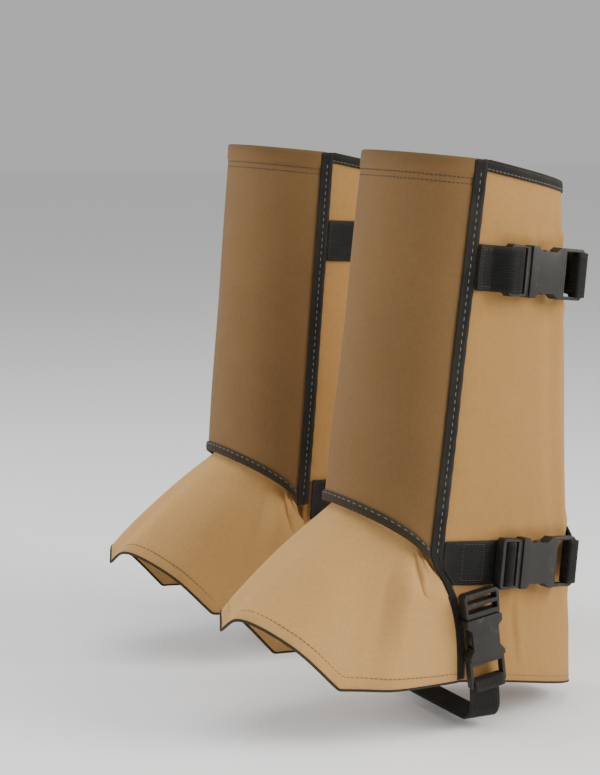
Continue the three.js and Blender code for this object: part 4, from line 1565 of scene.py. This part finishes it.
@dataclass
class Stirrup:
    """Hanger, buckle and the strap that runs under the boot."""

    leg: Leg
    shop: Workshop
    arch: float = 8
    corner: float = 12
    inner_top: float = 78

    def y(self, z: np.ndarray) -> np.ndarray:
        """Y of the stirrup's middle at a height."""
        return STRAP.stirrup.y + (STRAP.stirrup.height - z) * math.tan(math.radians(STRAP.stirrup_slant))

    def build(self) -> None:
        """Builds the webbing and the buckle."""
        leg, shop, t = self.leg, self.shop, STRAP.thickness
        paint = shop.finishes
        half = STRAP.stirrup_width / 2
        axes, mouth = BUCKLE.axes(leg, STRAP.stirrup, Direction.DOWN, STRAP.stirrup_slant, 1.4)
        top = (
            STRAP.lower.height
            - (STRAP.stirrup.y + half - STRAP.lower.y) * math.tan(math.radians(STRAP.droop))
            - STRAP.width / 2 - 0.3
        )
        z = np.linspace(STRAP.stirrup.height + 4, top, 24)
        lines = [leg.skin(leg.turn_at_y(self.y(z) + e * half, z), z) for e in (-1, 1)]
        shop.add(
            leg, "stirrup_hanger_webbing", band(lines[0], lines[1], STRAP.gap, STRAP.gap + t), paint.webbing,
            "webbing", stands_for=("stirrup_hanger",),
        )
        self.sole(axes, mouth, half)
        shop.buckle(leg, "stirrup", ROOT_BODY, f"{leg.name}_stirrup_ladder")

    def sole(self, axes: np.ndarray, mouth: np.ndarray, half: float) -> None:
        """Webbing over the loop's bar, down the outer side, under the arch and up the inner side."""
        leg, t = self.leg, STRAP.thickness
        side = leg.half_width + STRAP.gap + t / 2
        low = self.arch + t / 2
        first = np.radians(np.linspace(0, -90, 9))
        second = np.radians(np.linspace(-90, -180, 9))
        bend, level = self.corner, low + self.corner
        outer = np.stack([side - bend + bend * np.cos(first), level + bend * np.sin(first)], 1)
        inner = np.stack([bend - side + bend * np.cos(second), level + bend * np.sin(second)], 1)
        path = np.vstack([outer, inner, [[-side, 40], [-side, 60], [-side, self.inner_top]]])
        middle = float(self.y(np.array(low + self.corner)))
        ends = BUCKLE.loop_turn(axes, mouth, half)
        if ends[0][0, 1] > ends[1][0, 1]:
            ends.reverse()
        lines = []
        for e, end in zip((-1, 1), ends):
            round_sole = np.stack([path[:, 0], np.full(len(path), middle + e * half), path[:, 1]], 1)
            lines.append(through(np.vstack([end, round_sole]), np.linspace(0, 1, 300)))
        surface = band(lines[0], lines[1], -t / 2, t / 2, 9)
        self.shop.add(
            leg, "stirrup_sole_webbing", surface, self.shop.finishes.webbing, "webbing",
            stands_for=("stirrup_sole_strap",),
        )


@dataclass
class Gaiter:
    """One whole gaiter."""

    leg: Leg
    shop: Workshop

    def build(self) -> None:
        """Builds its sub-assemblies in order."""
        ShinGuard(self.leg, self.shop).build()
        CalfWrap(self.leg, self.shop).build()
        Instep(self.leg, self.shop).build()
        Seams(self.leg, self.shop).build()
        CalfStrap(self.leg, self.shop, "upper", STRAP.upper, Threading.OVER).build()
        CalfStrap(self.leg, self.shop, "lower", STRAP.lower, Threading.BETWEEN).build()
        Stirrup(self.leg, self.shop).build()


# ---------------------------------------------------------------- studio


@dataclass
class Studio:
    """Pale floor, soft lights and the camera."""

    eye: Triple = (1.3577, -0.7071, 0.4595)
    forward: Triple = (-0.8853, 0.4424, -0.1433)
    lens: float = 89.6

    def build(self) -> None:
        """Builds the floor, the lights and the camera."""
        self.floor()
        self.light("key", (1.3, 1.3, 1.1), 1.2, 46, (1.0, 0.97, 0.93))
        self.light("front edge", (-0.9, -1.7, 0.8), 1.0, 34, (0.96, 0.97, 1.0))
        self.light("overhead", (0.5, -0.3, 2.2), 1.6, 22, (1.0, 1.0, 1.0))
        self.world()
        camera = bpy.data.objects.new("camera", bpy.data.cameras.new("camera"))
        bpy.context.scene.collection.objects.link(camera)
        camera.location = self.eye
        camera.rotation_mode = "QUATERNION"
        camera.rotation_quaternion = Vector(self.forward).to_track_quat("-Z", "Y")
        camera.data.sensor_width = 36
        camera.data.lens = self.lens
        camera.data.clip_end = 50
        bpy.context.scene.camera = camera

    def floor(self) -> None:
        """A wide pale floor with a faint cloudy finish."""
        mesh = bpy.data.meshes.new("floor")
        size = 12.0
        corners = [(x * size, y * size, 0) for x, y in ((-1, -1), (1, -1), (1, 1), (-1, 1))]
        mesh.from_pydata(corners, [], [(0, 1, 2, 3)])
        ground = bpy.data.objects.new("floor", mesh)
        bpy.context.scene.collection.objects.link(ground)
        material = bpy.data.materials.new("floor")
        material.use_nodes = True
        w = Wiring(material.node_tree)
        where = w.tree.nodes.new("ShaderNodeTexCoord").outputs["Object"]
        tone = w.mix(w.noise(where, 1.5, 3), (0.93, 0.93, 0.925, 1), (0.96, 0.96, 0.955, 1))
        shader = w.tree.nodes["Principled BSDF"]
        w.join(tone, shader.inputs["Base Color"])
        shader.inputs["Roughness"].default_value = 0.7
        mesh.materials.append(material)

    def light(self, name: str, place: Triple, size: float, power: float, colour: Triple) -> None:
        """One square area light aimed at the middle of the pair."""
        lamp = bpy.data.lights.new(name, "AREA")
        lamp.size = size
        lamp.energy = power
        lamp.color = colour
        holder = bpy.data.objects.new(name, lamp)
        bpy.context.scene.collection.objects.link(holder)
        holder.location = place
        holder.rotation_mode = "QUATERNION"
        holder.rotation_quaternion = (Vector((0, 0, 0.22)) - Vector(place)).to_track_quat("-Z", "Y")

    def world(self) -> None:
        """An even, nearly white surround."""
        world = bpy.data.worlds.new("surround")
        bpy.context.scene.world = world
        world.use_nodes = True
        surround = world.node_tree.nodes["Background"]
        surround.inputs["Color"].default_value = (1.0, 1.0, 1.0, 1)
        surround.inputs["Strength"].default_value = 0.5


def main() -> None:
    """Builds the pair and the studio."""
    logging.basicConfig(level=logging.INFO, format="%(name)s: %(message)s")
    Studio().build()
    shop = Workshop(Finishes())
    legs = [
        Leg("left", 1, 0.12, -6, (117.5, -2.5)),
        Leg("right", -1, 0.08, -1, (-117.5, 2.5), fold_phase=1.7),
    ]
    for leg in legs:
        Gaiter(leg, shop).build()
    log.info("%d pieces, about %d triangles", shop.count, shop.triangles)


if __name__ == "__main__":
    main()
